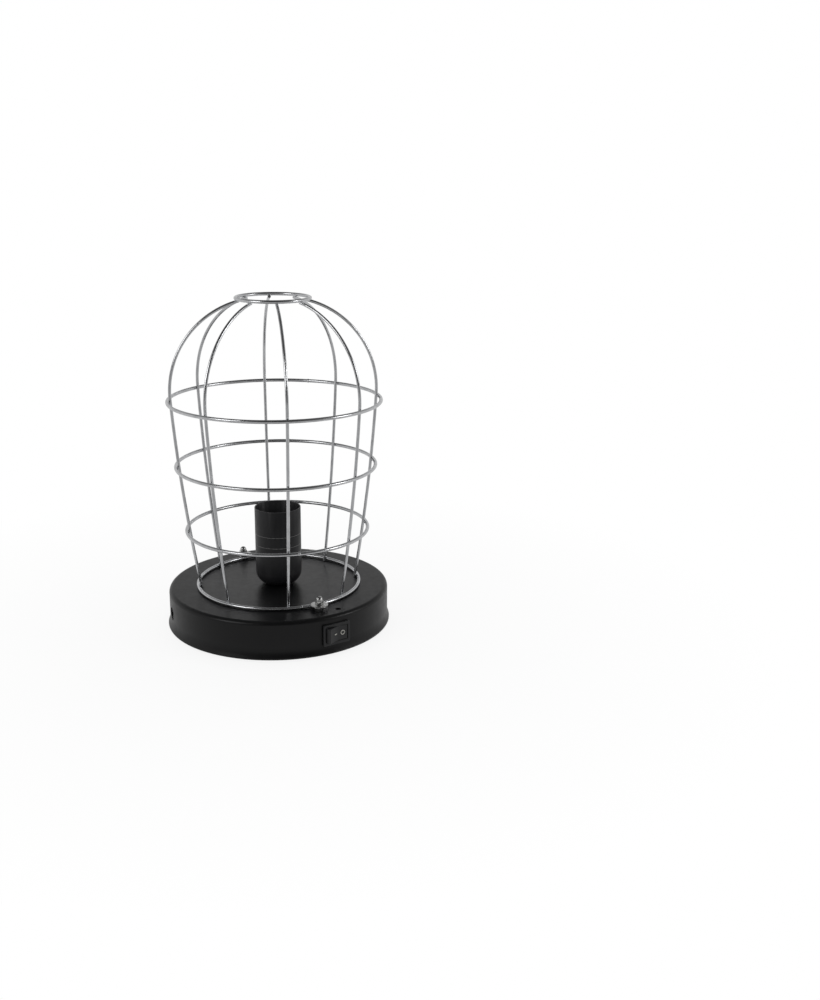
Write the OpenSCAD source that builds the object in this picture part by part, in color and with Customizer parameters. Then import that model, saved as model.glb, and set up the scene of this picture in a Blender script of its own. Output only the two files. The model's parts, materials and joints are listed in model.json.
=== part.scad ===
// Table lamp for a screw-in infrared bulb: pressed steel base, lampholder cup and wire cage.
// The origin is on the surface under the base's centre. +Z is up and the front is -Y.

/* [Base] */
// Outside diameter of the base's wall
base_d = 220; // [200:1:250]
// Height of the pressed pan, from its hem to its top
base_h = 38; // [34:1:50]
// Thickness of the pan's and the cup's sheet steel
sheet_t = 1; // [0.8:0.1:1.2]
// Outside radius of the pan's rolled top edge
top_edge_r = 4; // [3:0.5:6]
// How far the hem stands out from the wall
hem_out = 2; // [1.5:0.1:2.5]
// Radius of the rolled hem
hem_r = 1.8; // [1.4:0.1:2.2]
// Radius of the flare from the wall to the hem
flare_r = 20; // [12:1:28]
// How far the rubber feet stand below the hem
foot_drop = 2; // [1:0.5:4]
// Diameter of a rubber foot
foot_d = 16; // [12:1:20]
// Distance of the feet from the axis
foot_place_r = 86; // [80:1:90]
// Diameter of the cord's inlet in the wall
inlet_d = 13; // [9:0.5:16]
// Height of the inlet's centre above the hem
inlet_h = 18.5; // [17:0.5:20]
// Direction of the inlet, turned from the front
inlet_az = -100; // [-110:1:-95]
// Diameter of the small hole in the top
vent_d = 5.5; // [3:0.5:7]
// Distance of the small hole from the axis
vent_place_r = 98; // [97:0.5:100]
// Direction of the small hole, turned from the front
vent_az = 9; // [8:0.5:14]

/* [Cage] */
// Wire diameter of the hoops and rings
hoop_wire = 3.5; // [3:0.1:4]
// Wire diameter of the ribs
rib_wire = 3; // [2.5:0.1:3.5]
// Number of ribs
rib_count = 8; // [6:2:12]
// Diameter of the foot ring, between wire centres
foot_ring_d = 162; // [156:1:166]
// Largest diameter of the rib cage, between wire centres
cage_d = 201; // [190:1:215]
// Radius of the dome's arc
dome_r = 90.5; // [85:0.5:95]
// Height of the dome's centre above the foot ring
dome_h = 195; // [190:1:215]
// How far the ribs lean in just below the dome, in degrees
rib_lean = 3.7; // [3:0.1:4.2]
// Height of the lower hoop above the foot ring
lower_hoop_h = 57; // [45:1:70]
// Height of the middle hoop above the foot ring
middle_hoop_h = 122.4; // [105:0.2:140]
// Height of the upper hoop above the foot ring
upper_hoop_h = 187; // [170:1:188]
// Diameter of the top ring, between wire centres
top_ring_d = 70.6; // [60:0.2:90]
// How far the ribs reach inside the top ring
rib_tail = 3; // [2.5:0.5:5]
// How far the ribs are turned from even places beside the front clamp, in degrees
rib_turn = 3; // [-4:0.5:4]
// How deep two wires melt together at a weld
weld_bite = 0.15; // [0.05:0.05:0.25]

/* [Cage clamps] */
// Thread diameter of the clamp screws
clamp_d = 4; // [3:0.5:5]
// Distance of the clamp screws from the axis
clamp_place_r = 87.5; // [87:0.5:89]
// Diameter of the clamp washers
washer_d = 17; // [16:0.5:18]
// Thickness of the clamp washers
washer_t = 1; // [0.8:0.1:1.5]
// Direction of the washer's heel, turned from straight outwards
heel_turn = 40; // [0:5:60]

/* [Lampholder] */
// Outside diameter of the cup
cup_d = 46; // [46:0.5:52]
// Height of the cup above the pan
cup_h = 80; // [76:1:100]
// Outside radius of the cup's rounded bottom
cup_corner_r = 14; // [10:0.5:15]
// Inside diameter of the thread shell
shell_d = 26.8; // [26.6:0.1:27.2]
// Height of the thread shell
shell_h = 22; // [20:0.5:24]
// Outside diameter of the porcelain body
porcelain_d = 39; // [38.5:0.5:40]
// Height of the porcelain body
porcelain_h = 40; // [38:1:44]
// Height of the porcelain's underside above the pan
porcelain_lift = 20; // [20:1:24]
// Outside diameter of the threaded nipple
nipple_d = 10; // [9.5:0.5:11]
// Bore of the threaded nipple
nipple_bore = 7; // [6.6:0.2:7.4]

/* [Switch] */
// Width of the switch's bezel
bezel_w = 29; // [27:0.5:31]
// Height of the switch's bezel
bezel_h = 21; // [20:0.5:24]
// Thickness of the switch's bezel
bezel_t = 2; // [1.5:0.1:3]
// Width of the rocker
rocker_w = 23.6; // [21:0.2:24]
// Height of the rocker
rocker_h = 14.4; // [12:0.2:15]
// Angle between the rocker's two positions
rocker_throw = 22; // [18:1:24]
// Height of the switch's centre above the hem
switch_h = 19.8; // [19:0.2:20.4]
// Direction of the switch, turned from the front
switch_az = 3; // [0:1:6]

/* [Wiring] */
// Outside diameter of the wires inside the base
wire_d = 2.2; // [1.6:0.1:2.4]
// Width of the terminal bracket
strap_w = 24; // [20:1:30]

/* [Hidden] */
rib_nodes = [for (i = [1:rib_count]) str("cage_rib_", i)];

// Fineness of round shapes: small fasteners, bodies, and the long arcs of the ribs
fine = 32;
round_fn = 96;
arc_fn = 1440;
eps = 0.01;
// Gap between a loose piece and its seat, and between a hole and what passes through it
seat_gap = 0.2;
hole_gap = 0.2;
// Radial clearance of a turning fit
turn_gap = 0.05;

// Base: heights are above the surface, radii are from the axis
wall_r = base_d/2;
hem_z = foot_drop;
top_z = hem_z + base_h;
under_z = top_z - sheet_t;
hem_c = [wall_r + hem_out - hem_r, hem_z + hem_r];
flare_reach = flare_r + hem_r;
flare_dx = wall_r + flare_r - hem_c[0];
flare_dz = sqrt(flare_reach*flare_reach - flare_dx*flare_dx);
flare_c = [wall_r + flare_r, hem_c[1] + flare_dz];
flare_angle = atan2(flare_dz, flare_dx);
cover_t = 1.2;
cover_z = hem_z + 3;
cover_top = cover_z + cover_t;
cover_r = wall_r - sheet_t - 1.2;
bracket_count = 4;
bracket_t = 1.2;
bracket_leg = 13;
bracket_arc = 8;
bracket_screw_r = cover_r - 7.5;
cover_screw_d = 3;
cover_hole_d = cover_screw_d + 2*hole_gap;
foot_neck_d = foot_d/2;

// Ribs: the dome's arc is centred at dome_c, and the long arc below it at bow_c
wire_gap = (hoop_wire + rib_wire)/2 - weld_bite;
ring_z = top_z + seat_gap + hoop_wire/2;
rib_foot = [foot_ring_d/2 - wire_gap, ring_z];
dome_c = [cage_d/2 - dome_r, ring_z + dome_h];
to_foot = rib_foot - dome_c;
lean_dir = [cos(rib_lean), -sin(rib_lean)];
foot_along = to_foot*lean_dir;
bow_r = (to_foot*to_foot + dome_r*dome_r - 2*dome_r*foot_along)/(2*(dome_r - foot_along));
bow_c = dome_c - (bow_r - dome_r)*lean_dir;
// Where the two arcs meet; a faint bead there makes them one piece
rib_join = dome_c + dome_r*lean_dir;
join_bead = 0.05;
rib_end_z = top_z + 2*seat_gap;
bow_end = asin((rib_end_z - bow_c[1])/bow_r);
rib_top_r = top_ring_d/2 - rib_tail;
dome_end = acos((rib_top_r - dome_c[0])/dome_r);
top_ring_reach = dome_r + wire_gap;
top_ring_z = dome_c[1] + sqrt(pow(top_ring_reach, 2) - pow(top_ring_d/2 - dome_c[0], 2));
rib_step = 360/rib_count;

// A hoop lies outside the ribs, so its radius follows the long arc
function hoop_r(h) = bow_c[0] + sqrt(pow(bow_r + wire_gap, 2) - pow(ring_z + h - bow_c[1], 2));

// Clamps
washer_z = ring_z + hoop_wire/2;
nut_z = washer_z + washer_t + turn_gap;
nut_flats = 1.75*clamp_d;
nut_hex_h = clamp_d;
nut_dome_d = 1.6*clamp_d;
nut_h = nut_hex_h + 0.2*clamp_d + nut_dome_d/2;
clamp_head_d = 2*clamp_d;
clamp_head_h = 0.65*clamp_d;
// The plain shank is the core of the thread, which the scene's own screw thread goes round
clamp_core_d = 0.8*clamp_d;
clamp_top = nut_z + 0.75*nut_h;
heel_w = 4.3;

// Lampholder: the stack on the nipple, from the pan's underside down and from its top up
strap_t = 1.5;
lock_t = 0.8;
nipple_nut_h = 4;
nipple_nut_flats = 1.4*nipple_d;
lower_washer_z = under_z - strap_t - lock_t;
lower_nut_z = lower_washer_z - nipple_nut_h;
nipple_bottom = lower_nut_z - 3;
upper_washer_z = top_z + sheet_t;
upper_nut_z = upper_washer_z + lock_t;
collar_z = upper_nut_z + nipple_nut_h;
collar_h = 3.2;
bridge_z = collar_z + collar_h;
nipple_top = bridge_z + strap_t + 1.5;
porcelain_z = top_z + porcelain_lift;
porcelain_top = porcelain_z + porcelain_h;
shell_t = 0.4;
shell_top = porcelain_top - 2;
shell_z = shell_top - shell_h;
cavity_r = shell_d/2 + shell_t;
well_r = 8;
well_h = 4;
holder_screw_r = (cavity_r + porcelain_d/2)/2;
holder_screw_d = 2.6;
holder_head_d = 4.8;
holder_head_h = 1.8;
bridge_w = 9;
ear_x = holder_screw_r + holder_screw_d/2 + 2*hole_gap + strap_t;
terminal_y = 11;
pocket_h = 9;
pocket_w = 10;
pocket_l = 8;
contact_l = 8;
contact_w = 6;
contact_t = 0.6;
contact_x = 6.5;
contact_rise = 1.2;
contact_slope = 18;
holder_terminal = [7, 6, 5];
terminal_z = porcelain_z + pocket_h - holder_terminal[2];

// Switch, in its own frame: +X to the right from outside, +Y into the base, at the wall's outer face
switch_z = hem_z + switch_h;
body_w = bezel_w - 2.4;
body_h = bezel_h - 2.4;
body_depth = 18;
rocker_gap = 0.3;
rocker_r = rocker_w/2;
mouth_w = rocker_w + 2*rocker_gap;
mouth_h = rocker_h + 2*rocker_gap;
pivot_y = 1;
pivot_d = 3;
pivot_l = 1;
rocker_tilt = rocker_throw/2;
rocker_back = 5;
rocker_nose = 2.4;
stem_d = 5;
plunger_d = 2.6;
plunger_reach = 10.5;
stem_y = 8;
mouth_depth = 14.6;
blade_y = pivot_y + plunger_reach + 0.6;
blade_tilt = 6;
blade_l = 15;
blade_w = 4;
blade_t = 0.6;
tab_w = 6.3;
tab_t = 0.8;
tab_out = 27;
tab_gap = 9;
blade_axis_y = blade_y + blade_t/2;
crease_d = 1;
blade_stop_y = blade_axis_y + blade_l/2*sin(blade_tilt) + seat_gap;
centre_tab_y = blade_axis_y + crease_d/2 + seat_gap;

// Terminal bracket and block under the pan's top, towards the inlet
strap_z = under_z - strap_t;
strap_end = -62;
strap_root = 12;
block_l = 20;
block_w = 27;
block_h = 13;
block_x = -44;
block_z = strap_z - block_h;
pole_gap = 9;
pole_z = block_z + block_h/2;
pole_d = 4;
pole_grip = 6;
pole_screw_x = 6;
grub_h = block_h/2 - wire_d/2 - seat_gap;
block_screw_d = 3;
earth_x = -15;
earth_y = 7;
earth_head_d = 6;
earth_head_h = 2.2;
tag_t = 0.8;
tag_d = 7.5;
tag_barrel_d = wire_d + 1;
tag_barrel_l = 5;
tag_barrel_z = strap_z - tag_barrel_d/2;
tag_lap = 0.4;
tag_end = earth_x - tag_d/2 - tag_barrel_l + tag_lap;
wire_sides = 8;
wire_steps = 4;

// Routes of the wires, chosen by hand
switch_turn = [[cos(switch_az), -sin(switch_az)], [sin(switch_az), cos(switch_az)]];
function at_switch(x, y) = concat(switch_turn*[x, y - wall_r], [switch_z]);
block_out = block_x + block_l/2;
receptacle_end = tab_out + 3;
live_route = [
    [block_out - pole_grip, -pole_gap, pole_z], [block_out, -pole_gap, pole_z],
    [block_out + 2, -pole_gap, pole_z],
    [block_out + 8, -pole_gap - 3, pole_z - 1], [-18, -24, 28],
    [-8, -42, 26], at_switch(0, receptacle_end + 8), at_switch(0, receptacle_end + seat_gap)
];
switched_route = [
    at_switch(tab_gap, receptacle_end + seat_gap), at_switch(tab_gap, receptacle_end + 8), [13, -42, 20],
    [6, -14, 19], [1.6, -2, 22], [1.6, 0, 30], [1.6, 0, nipple_top],
    [1.4, -4, nipple_top + 3], [1, -terminal_y, terminal_z - 5],
    [1, -terminal_y, terminal_z - 2], [1, -terminal_y, terminal_z - seat_gap]
];
neutral_route = [
    [block_out - pole_grip, 0, pole_z], [block_out, 0, pole_z], [block_out + 2, 0, pole_z],
    [-16, 0, 25], [-5, 0, 20.5],
    [-1.6, 0, 24], [-1.6, 0, 31], [-1.6, 0, nipple_top],
    [-1.4, 4, nipple_top + 3], [-1, terminal_y, terminal_z - 5],
    [-1, terminal_y, terminal_z - 2], [-1, terminal_y, terminal_z - seat_gap]
];
earth_route = [
    [block_out - pole_grip, pole_gap, pole_z], [block_out, pole_gap, pole_z],
    [block_out + 2, pole_gap, pole_z],
    [tag_end - 4, earth_y, tag_barrel_z], [tag_end - 2, earth_y, tag_barrel_z],
    [tag_end - seat_gap, earth_y, tag_barrel_z]
];

// Colours as the photo shows them
paint_black = "#2a2a2c";
plate_zinc = "#c8cace";
steel_grey = "#9a9ca0";
brass = "#c9a25a";
porcelain_white = "#e9e6de";
moulded_black = "#1a1a1c";
rubber_black = "#151517";

// ---- Helpers ----

// Turns a piece from the front to a direction
module towards(az) {
    rotate([0, 0, az]) children();
}

// Repeats a piece at the front and at the rear clamp
module both_clamps() {
    for (az = [0, 180]) towards(az) translate([0, -clamp_place_r, 0]) children();
}

module ring(centre_d, wire_d, z) {
    translate([0, 0, z])
        rotate_extrude($fn = round_fn)
            translate([centre_d/2, 0]) circle(d = wire_d, $fn = fine);
}

// A stretch of round wire along an arc in the XZ plane, from angle a to angle b
module wire_arc(centre, radius, a, b) {
    translate([centre[0], 0, centre[1]])
        rotate([90, 0, 0])
            rotate([0, 0, a])
                rotate_extrude(angle = b - a, $fn = arc_fn)
                    translate([radius, 0]) circle(d = rib_wire, $fn = fine);
}

module hexagon(flats, h) {
    cylinder(d = flats/cos(30), h = h, $fn = 6);
}

module pan_head(d, h) {
    intersection() {
        cylinder(d = d, h = h, $fn = fine);
        translate([0, 0, h - d]) sphere(r = d, $fn = round_fn);
    }
}

function unit(v) = v/norm(v);

// A smooth curve through a route's points
function curve_at(p, i, t) =
    let (a = p[max(i - 1, 0)], b = p[i], c = p[i + 1], d = p[min(i + 2, len(p) - 1)])
    0.5*(2*b + (c - a)*t + (2*a - 5*b + 4*c - d)*t*t + (3*b - a - 3*c + d)*t*t*t);
function curve(p, steps) = concat(
    [for (i = [0:len(p) - 2]) for (s = [0:steps - 1]) curve_at(p, i, s/steps)],
    [p[len(p) - 1]]
);
function headings(q) = [
    for (i = [0:len(q) - 1]) unit(q[min(i + 1, len(q) - 1)] - q[max(i - 1, 0)])
];
// Carries one sideways direction along the headings without twist
function carried(t, n, i = 0, out = []) =
    i == len(t) ? out : let (m = unit(n - (n*t[i])*t[i])) carried(t, m, i + 1, concat(out, [m]));

// A round wire swept along a route
module wire(route) {
    q = curve(route, wire_steps);
    t = headings(q);
    n = carried(t, [0.3, 0.2, 1]);
    rings = len(q);
    turn = 360/wire_sides;
    points = [
        for (i = [0:rings - 1]) for (k = [0:wire_sides - 1])
            q[i] + wire_d/2*(cos(k*turn)*n[i] + sin(k*turn)*cross(t[i], n[i]))
    ];
    sides = [
        for (i = [0:rings - 2]) for (k = [0:wire_sides - 1])
            let (a = i*wire_sides + k, b = i*wire_sides + (k + 1)%wire_sides)
            [a, a + wire_sides, b + wire_sides, b]
    ];
    first = [for (k = [0:wire_sides - 1]) k];
    last = [for (k = [0:wire_sides - 1]) (rings - 1)*wire_sides + wire_sides - 1 - k];
    polyhedron(points, concat(sides, [first, last]));
}

// ---- Base ----

// Half section of the pan's top and upper wall; inset gives its inside
module pan_half(inset) {
    r = wall_r - inset;
    edge = top_edge_r - inset;
    z0 = flare_c[1];
    z1 = top_z - inset;
    translate([0, z0]) square([r, z1 - edge - z0]);
    translate([0, z0]) square([r - edge, z1 - z0]);
    translate([r - edge, z1 - edge]) circle(r = edge, $fn = round_fn);
}

// Half section of the flare and the rolled hem
module flare_half() {
    reach = 1.3*(flare_r + sheet_t);
    intersection() {
        translate(flare_c) difference() {
            circle(r = flare_r + sheet_t, $fn = 4*round_fn);
            circle(r = flare_r, $fn = 4*round_fn);
        }
        translate(flare_c) polygon([
            [0, 0],
            [-reach, 0],
            [-reach*cos(flare_angle), -reach*sin(flare_angle)]
        ]);
    }
    translate(hem_c) circle(r = hem_r, $fn = round_fn);
}

module base_pan() {
    color(paint_black)
        difference() {
            rotate_extrude($fn = 2*round_fn) {
                difference() {
                    pan_half(0);
                    difference() {
                        pan_half(sheet_t);
                        translate([-1, flare_c[1] - 1]) square([0.5, 1]);
                    }
                }
                flare_half();
            }
            translate([0, 0, under_z - 1])
                cylinder(d = nipple_d + 2*hole_gap, h = sheet_t + 2, $fn = round_fn);
            both_clamps() translate([0, 0, under_z - 1])
                cylinder(d = clamp_d + 2*hole_gap, h = sheet_t + 2, $fn = fine);
            towards(vent_az) translate([0, -vent_place_r, under_z - 1])
                cylinder(d = vent_d, h = sheet_t + 2, $fn = fine);
            towards(inlet_az) translate([0, -wall_r + 3*sheet_t, hem_z + inlet_h])
                rotate([90, 0, 0]) cylinder(d = inlet_d, h = 6*sheet_t, $fn = round_fn);
            towards(switch_az)
                translate([-body_w/2 - hole_gap/2, -wall_r - 2, switch_z - body_h/2 - hole_gap/2])
                    cube([body_w + hole_gap, 4*sheet_t + 3, body_h + hole_gap]);
        }
}

// Repeats a piece at each cover bracket
module each_bracket() {
    for (i = [0:bracket_count - 1]) towards((i + 0.5)*360/bracket_count) children();
}

// Repeats a piece at each rubber foot
module each_foot() {
    for (i = [0:bracket_count - 1]) towards(i*360/bracket_count) translate([0, -foot_place_r, 0]) children();
}

module bottom_cover() {
    color(moulded_black)
        difference() {
            translate([0, 0, cover_z]) cylinder(r = cover_r, h = cover_t, $fn = 2*round_fn);
            each_foot() translate([0, 0, cover_z - 1])
                cylinder(d = foot_neck_d, h = cover_t + 2, $fn = fine);
            each_bracket() translate([0, -bracket_screw_r, cover_z - 1])
                cylinder(d = cover_hole_d, h = cover_t + 2, $fn = fine);
        }
}

module cover_brackets() {
    inner_r = wall_r - sheet_t;
    leg_foot = flare_c[1] + 0.5;
    color(steel_grey)
        each_bracket()
            difference() {
                rotate([0, 0, -90 - bracket_arc/2])
                    rotate_extrude(angle = bracket_arc, $fn = 2*round_fn) {
                        translate([inner_r - bracket_t, cover_top])
                            square([bracket_t, leg_foot + bracket_leg - cover_top]);
                        translate([bracket_screw_r - 5, cover_top])
                            square([inner_r - bracket_screw_r + 5, bracket_t]);
                    }
                translate([0, -bracket_screw_r, cover_top - 1])
                    cylinder(d = cover_screw_d, h = bracket_t + 2, $fn = fine);
            }
}

module cover_screws() {
    head_h = 2;
    color(steel_grey)
        each_bracket()
            translate([0, -bracket_screw_r, cover_z]) {
                mirror([0, 0, 1]) pan_head(2*cover_screw_d, head_h);
                cylinder(d = cover_screw_d, h = cover_t + bracket_t + 4, $fn = fine);
            }
}

module rubber_feet() {
    barb_out = 1;
    barb_l = 3;
    edge = 1;
    draft = 0.5;
    color(rubber_black)
        each_foot()
            rotate_extrude($fn = fine) polygon([
                [0, 0], [foot_d/2 - edge, 0], [foot_d/2, edge], [foot_d/2 - draft, cover_z],
                [foot_neck_d/2, cover_z], [foot_neck_d/2, cover_top],
                [foot_neck_d/2 + barb_out, cover_top],
                [foot_neck_d/2 - draft, cover_top + barb_l], [0, cover_top + barb_l]
            ]);
}

// ---- Cage and its clamps ----

module clamp_screws() {
    color(steel_grey)
        both_clamps() {
            translate([0, 0, under_z]) mirror([0, 0, 1]) pan_head(clamp_head_d, clamp_head_h);
            translate([0, 0, under_z]) cylinder(d = clamp_core_d, h = clamp_top - under_z, $fn = fine);
        }
}

module foot_ring() {
    color(plate_zinc) ring(foot_ring_d, hoop_wire, ring_z);
}

module hoop(h) {
    color(plate_zinc) ring(2*hoop_r(h), hoop_wire, ring_z + h);
}

module top_ring() {
    color(plate_zinc) ring(top_ring_d, hoop_wire, top_ring_z);
}

// One rib: a long bow up the side, then the dome's arc to the inside of the top ring
module cage_rib(i) {
    color(plate_zinc)
        rotate([0, 0, -90 + rib_turn + (i + 0.5)*rib_step]) {
            wire_arc(bow_c, bow_r, bow_end, -rib_lean);
            translate([rib_join[0], 0, rib_join[1]]) sphere(d = rib_wire + 2*join_bead, $fn = fine);
            wire_arc(dome_c, dome_r, -rib_lean, dome_end);
        }
}

// A washer that bears on the foot ring, with a heel bent down to the pan
module clamp_washers() {
    heel_h = washer_z + washer_t - top_z - seat_gap;
    color(plate_zinc)
        both_clamps()
            difference() {
                union() {
                    translate([0, 0, washer_z]) cylinder(d = washer_d, h = washer_t, $fn = round_fn);
                    rotate([0, 0, -heel_turn])
                        translate([-heel_w/2, -washer_d/2 - washer_t/2, top_z + seat_gap])
                            cube([heel_w, washer_t, heel_h]);
                }
                translate([0, 0, washer_z - 1])
                    cylinder(d = clamp_d + 2*hole_gap, h = washer_t + 2, $fn = fine);
            }
}

// A hexagon nut closed by a dome
module cap_nut(az) {
    color(plate_zinc)
        towards(az) translate([0, -clamp_place_r, nut_z])
            difference() {
                union() {
                    intersection() {
                        hexagon(nut_flats, nut_hex_h);
                        cylinder(d1 = nut_flats, d2 = nut_flats + 4*nut_hex_h, h = nut_hex_h, $fn = round_fn);
                    }
                    cylinder(d = nut_dome_d, h = nut_h - nut_dome_d/2, $fn = fine);
                    translate([0, 0, nut_h - nut_dome_d/2]) sphere(d = nut_dome_d, $fn = fine);
                }
                translate([0, 0, -1])
                    cylinder(d = clamp_d + 2*turn_gap, h = clamp_top - nut_z + 1 + seat_gap, $fn = fine);
            }
}

// ---- Lampholder ----

// Half section of the cup; inset gives its inside
module cup_half(inset) {
    r = cup_d/2 - inset;
    corner = cup_corner_r - inset;
    z0 = top_z + inset;
    z1 = top_z + cup_h;
    translate([0, z0]) square([r - corner, z1 - z0]);
    translate([0, z0 + corner]) square([r, z1 - z0 - corner]);
    intersection() {
        translate([r - corner, z0 + corner]) circle(r = corner, $fn = round_fn);
        translate([0, z0]) square([r, corner + 1]);
    }
}

module holder_cup() {
    color(paint_black)
        difference() {
            rotate_extrude($fn = round_fn) cup_half(0);
            rotate_extrude($fn = round_fn) {
                cup_half(sheet_t);
                translate([0, top_z + cup_h - 1]) square([cup_d/2 - sheet_t, 2]);
            }
            translate([0, 0, top_z - 1])
                cylinder(d = nipple_d + 2*hole_gap, h = sheet_t + 2, $fn = round_fn);
        }
}

module threaded_nipple() {
    color(plate_zinc)
        translate([0, 0, nipple_bottom])
            difference() {
                cylinder(d = nipple_d, h = nipple_top - nipple_bottom, $fn = round_fn);
                translate([0, 0, -1])
                    cylinder(d = nipple_bore, h = nipple_top - nipple_bottom + 2, $fn = round_fn);
            }
}

module nipple_nuts() {
    color(plate_zinc)
        for (z = [lower_nut_z, upper_nut_z]) translate([0, 0, z])
            difference() {
                hexagon(nipple_nut_flats, nipple_nut_h);
                translate([0, 0, -1]) cylinder(d = nipple_d, h = nipple_nut_h + 2, $fn = round_fn);
            }
}

// Lock washers with teeth round their rim
module nipple_washers() {
    teeth = 10;
    color(steel_grey)
        for (z = [lower_washer_z, upper_washer_z]) translate([0, 0, z])
            difference() {
                cylinder(d = nipple_nut_flats + 2, h = lock_t, $fn = round_fn);
                translate([0, 0, -1]) cylinder(d = nipple_d + 2*hole_gap, h = lock_t + 2, $fn = round_fn);
                for (i = [0:teeth - 1]) rotate([0, 0, i*360/teeth])
                    translate([nipple_nut_flats/2, -0.6, -1]) cube([3, 1.2, lock_t + 2]);
            }
}

// A strap on a threaded collar, with two ears that carry the porcelain
module holder_bridge() {
    ear_h = porcelain_z - bridge_z;
    color(plate_zinc)
        difference() {
            union() {
                translate([-ear_x, -bridge_w/2, bridge_z]) cube([2*ear_x, bridge_w, strap_t]);
                for (side = [-1, 1]) {
                    translate([side > 0 ? ear_x - strap_t : -ear_x, -bridge_w/2, bridge_z])
                        cube([strap_t, bridge_w, ear_h]);
                    translate([side > 0 ? ear_x - 6 : -ear_x, -bridge_w/2, porcelain_z - strap_t])
                        cube([6, bridge_w, strap_t]);
                }
                translate([0, 0, collar_z]) cylinder(d = nipple_d + 4, h = collar_h, $fn = round_fn);
            }
            translate([0, 0, collar_z - 1])
                cylinder(d = nipple_d, h = collar_h + strap_t + 2, $fn = round_fn);
            for (side = [-1, 1]) translate([side*holder_screw_r, 0, porcelain_z - strap_t - 1])
                cylinder(d = holder_screw_d, h = strap_t + 2, $fn = fine);
        }
}

module porcelain_body() {
    color(porcelain_white)
        difference() {
            translate([0, 0, porcelain_z]) cylinder(d = porcelain_d, h = porcelain_h, $fn = round_fn);
            translate([0, 0, shell_z]) cylinder(r = cavity_r, h = porcelain_h, $fn = round_fn);
            translate([0, 0, shell_z - well_h]) cylinder(r = well_r, h = well_h + 1, $fn = round_fn);
            for (side = [-1, 1]) {
                translate([side*holder_screw_r, 0, porcelain_z - 1])
                    cylinder(d = holder_screw_d + 2*hole_gap, h = porcelain_h + 2, $fn = fine);
                translate([-pocket_w/2, side*terminal_y - pocket_l/2, porcelain_z - 1])
                    cube([pocket_w, pocket_l, pocket_h + 1]);
            }
        }
}

module thread_shell() {
    color(brass)
        rotate_extrude($fn = round_fn) {
            translate([shell_d/2, shell_z]) square([shell_t, shell_h]);
            translate([well_r + 1, shell_z]) square([cavity_r - well_r - 1, shell_t]);
        }
}

// A springy tongue in the well under the thread shell
module centre_contact() {
    t = contact_t;
    floor_z = shell_z - well_h;
    slope = contact_slope;
    color(brass)
        translate([0, contact_w/2, 0]) rotate([90, 0, 0]) linear_extrude(contact_w) {
            translate([-contact_x, floor_z]) square([contact_w, t]);
            translate([-contact_x, floor_z]) square([t, contact_rise + t/2]);
            translate([-contact_x, floor_z + contact_rise]) rotate([0, 0, slope]) square([contact_l, t]);
            translate([contact_l*cos(slope) - contact_x - t, floor_z + contact_rise + contact_l*sin(slope)])
                square([contact_l/2, t]);
        }
}

module holder_terminals() {
    color(brass)
        for (side = [-1, 1])
            translate([-holder_terminal[0]/2, side*terminal_y - holder_terminal[1]/2, terminal_z])
                cube(holder_terminal);
}

module holder_screws() {
    length = porcelain_top - porcelain_z + strap_t + 2;
    color(plate_zinc)
        for (side = [-1, 1]) translate([side*holder_screw_r, 0, porcelain_top]) {
            pan_head(holder_head_d, holder_head_h);
            translate([0, 0, -length]) cylinder(d = holder_screw_d, h = length, $fn = fine);
        }
}

// ---- Switch ----

module at_switch_place() {
    towards(switch_az) translate([0, -wall_r, switch_z]) children();
}

// A round bar along the switch's height, at a depth
module cross_bar(y, d, h) {
    translate([0, y, -h/2]) cylinder(d = d, h = h, $fn = fine);
}

module switch_housing() {
    latch_h = 8;
    latch_out = 0.8;
    latch_y = 3*sheet_t;
    latch_end = 9;
    color(moulded_black)
        at_switch_place()
            difference() {
                union() {
                    translate([-bezel_w/2, -bezel_t, -bezel_h/2]) cube([bezel_w, bezel_t, bezel_h]);
                    translate([-body_w/2, -eps, -body_h/2]) cube([body_w, body_depth + eps, body_h]);
                    for (side = [-1, 1]) translate([0, 0, -latch_h/2]) linear_extrude(latch_h)
                        polygon([
                            [side*(body_w/2 - latch_out), latch_y], [side*(body_w/2 + latch_out), latch_y],
                            [side*(body_w/2 - latch_out), latch_end]
                        ]);
                }
                translate([-mouth_w/2, -bezel_t - 1, -mouth_h/2])
                    cube([mouth_w, bezel_t + 1 + mouth_depth, mouth_h]);
                cross_bar(pivot_y, pivot_d + 2*turn_gap, rocker_h + 2*pivot_l + 2*turn_gap);
                for (x = [0, tab_gap])
                    translate([x - tab_t/2, mouth_depth - 1, -tab_w/2]) cube([tab_t, body_depth, tab_w]);
            }
}

// The rocker's outline seen from above, level; its corners stay inside a circle round the pivot
module rocker_outline() {
    intersection() {
        polygon([
            [-rocker_r, pivot_y + rocker_back], [-rocker_r, -bezel_t - rocker_nose],
            [0, -bezel_t - 0.2], [rocker_r, -bezel_t - rocker_nose], [rocker_r, pivot_y + rocker_back]
        ]);
        translate([0, pivot_y]) circle(r = rocker_r, $fn = round_fn);
    }
}

// Turns a piece with the rocker, about its pivot, to the position at rest
module with_rocker() {
    at_switch_place()
        translate([0, pivot_y, 0]) rotate([0, 0, rocker_tilt]) translate([0, -pivot_y, 0]) children();
}

module rocker() {
    color(moulded_black)
        with_rocker()
            difference() {
                union() {
                    translate([0, 0, -rocker_h/2]) linear_extrude(rocker_h) rocker_outline();
                    cross_bar(pivot_y, pivot_d, rocker_h + 2*pivot_l);
                    translate([0, pivot_y + rocker_back - 1, 0]) rotate([-90, 0, 0])
                        cylinder(d = stem_d, h = stem_y - rocker_back + 1, $fn = fine);
                }
                translate([0, pivot_y + 1, 0]) rotate([-90, 0, 0])
                    cylinder(d = plunger_d + 4*turn_gap, h = stem_y + 1, $fn = fine);
            }
}

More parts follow.
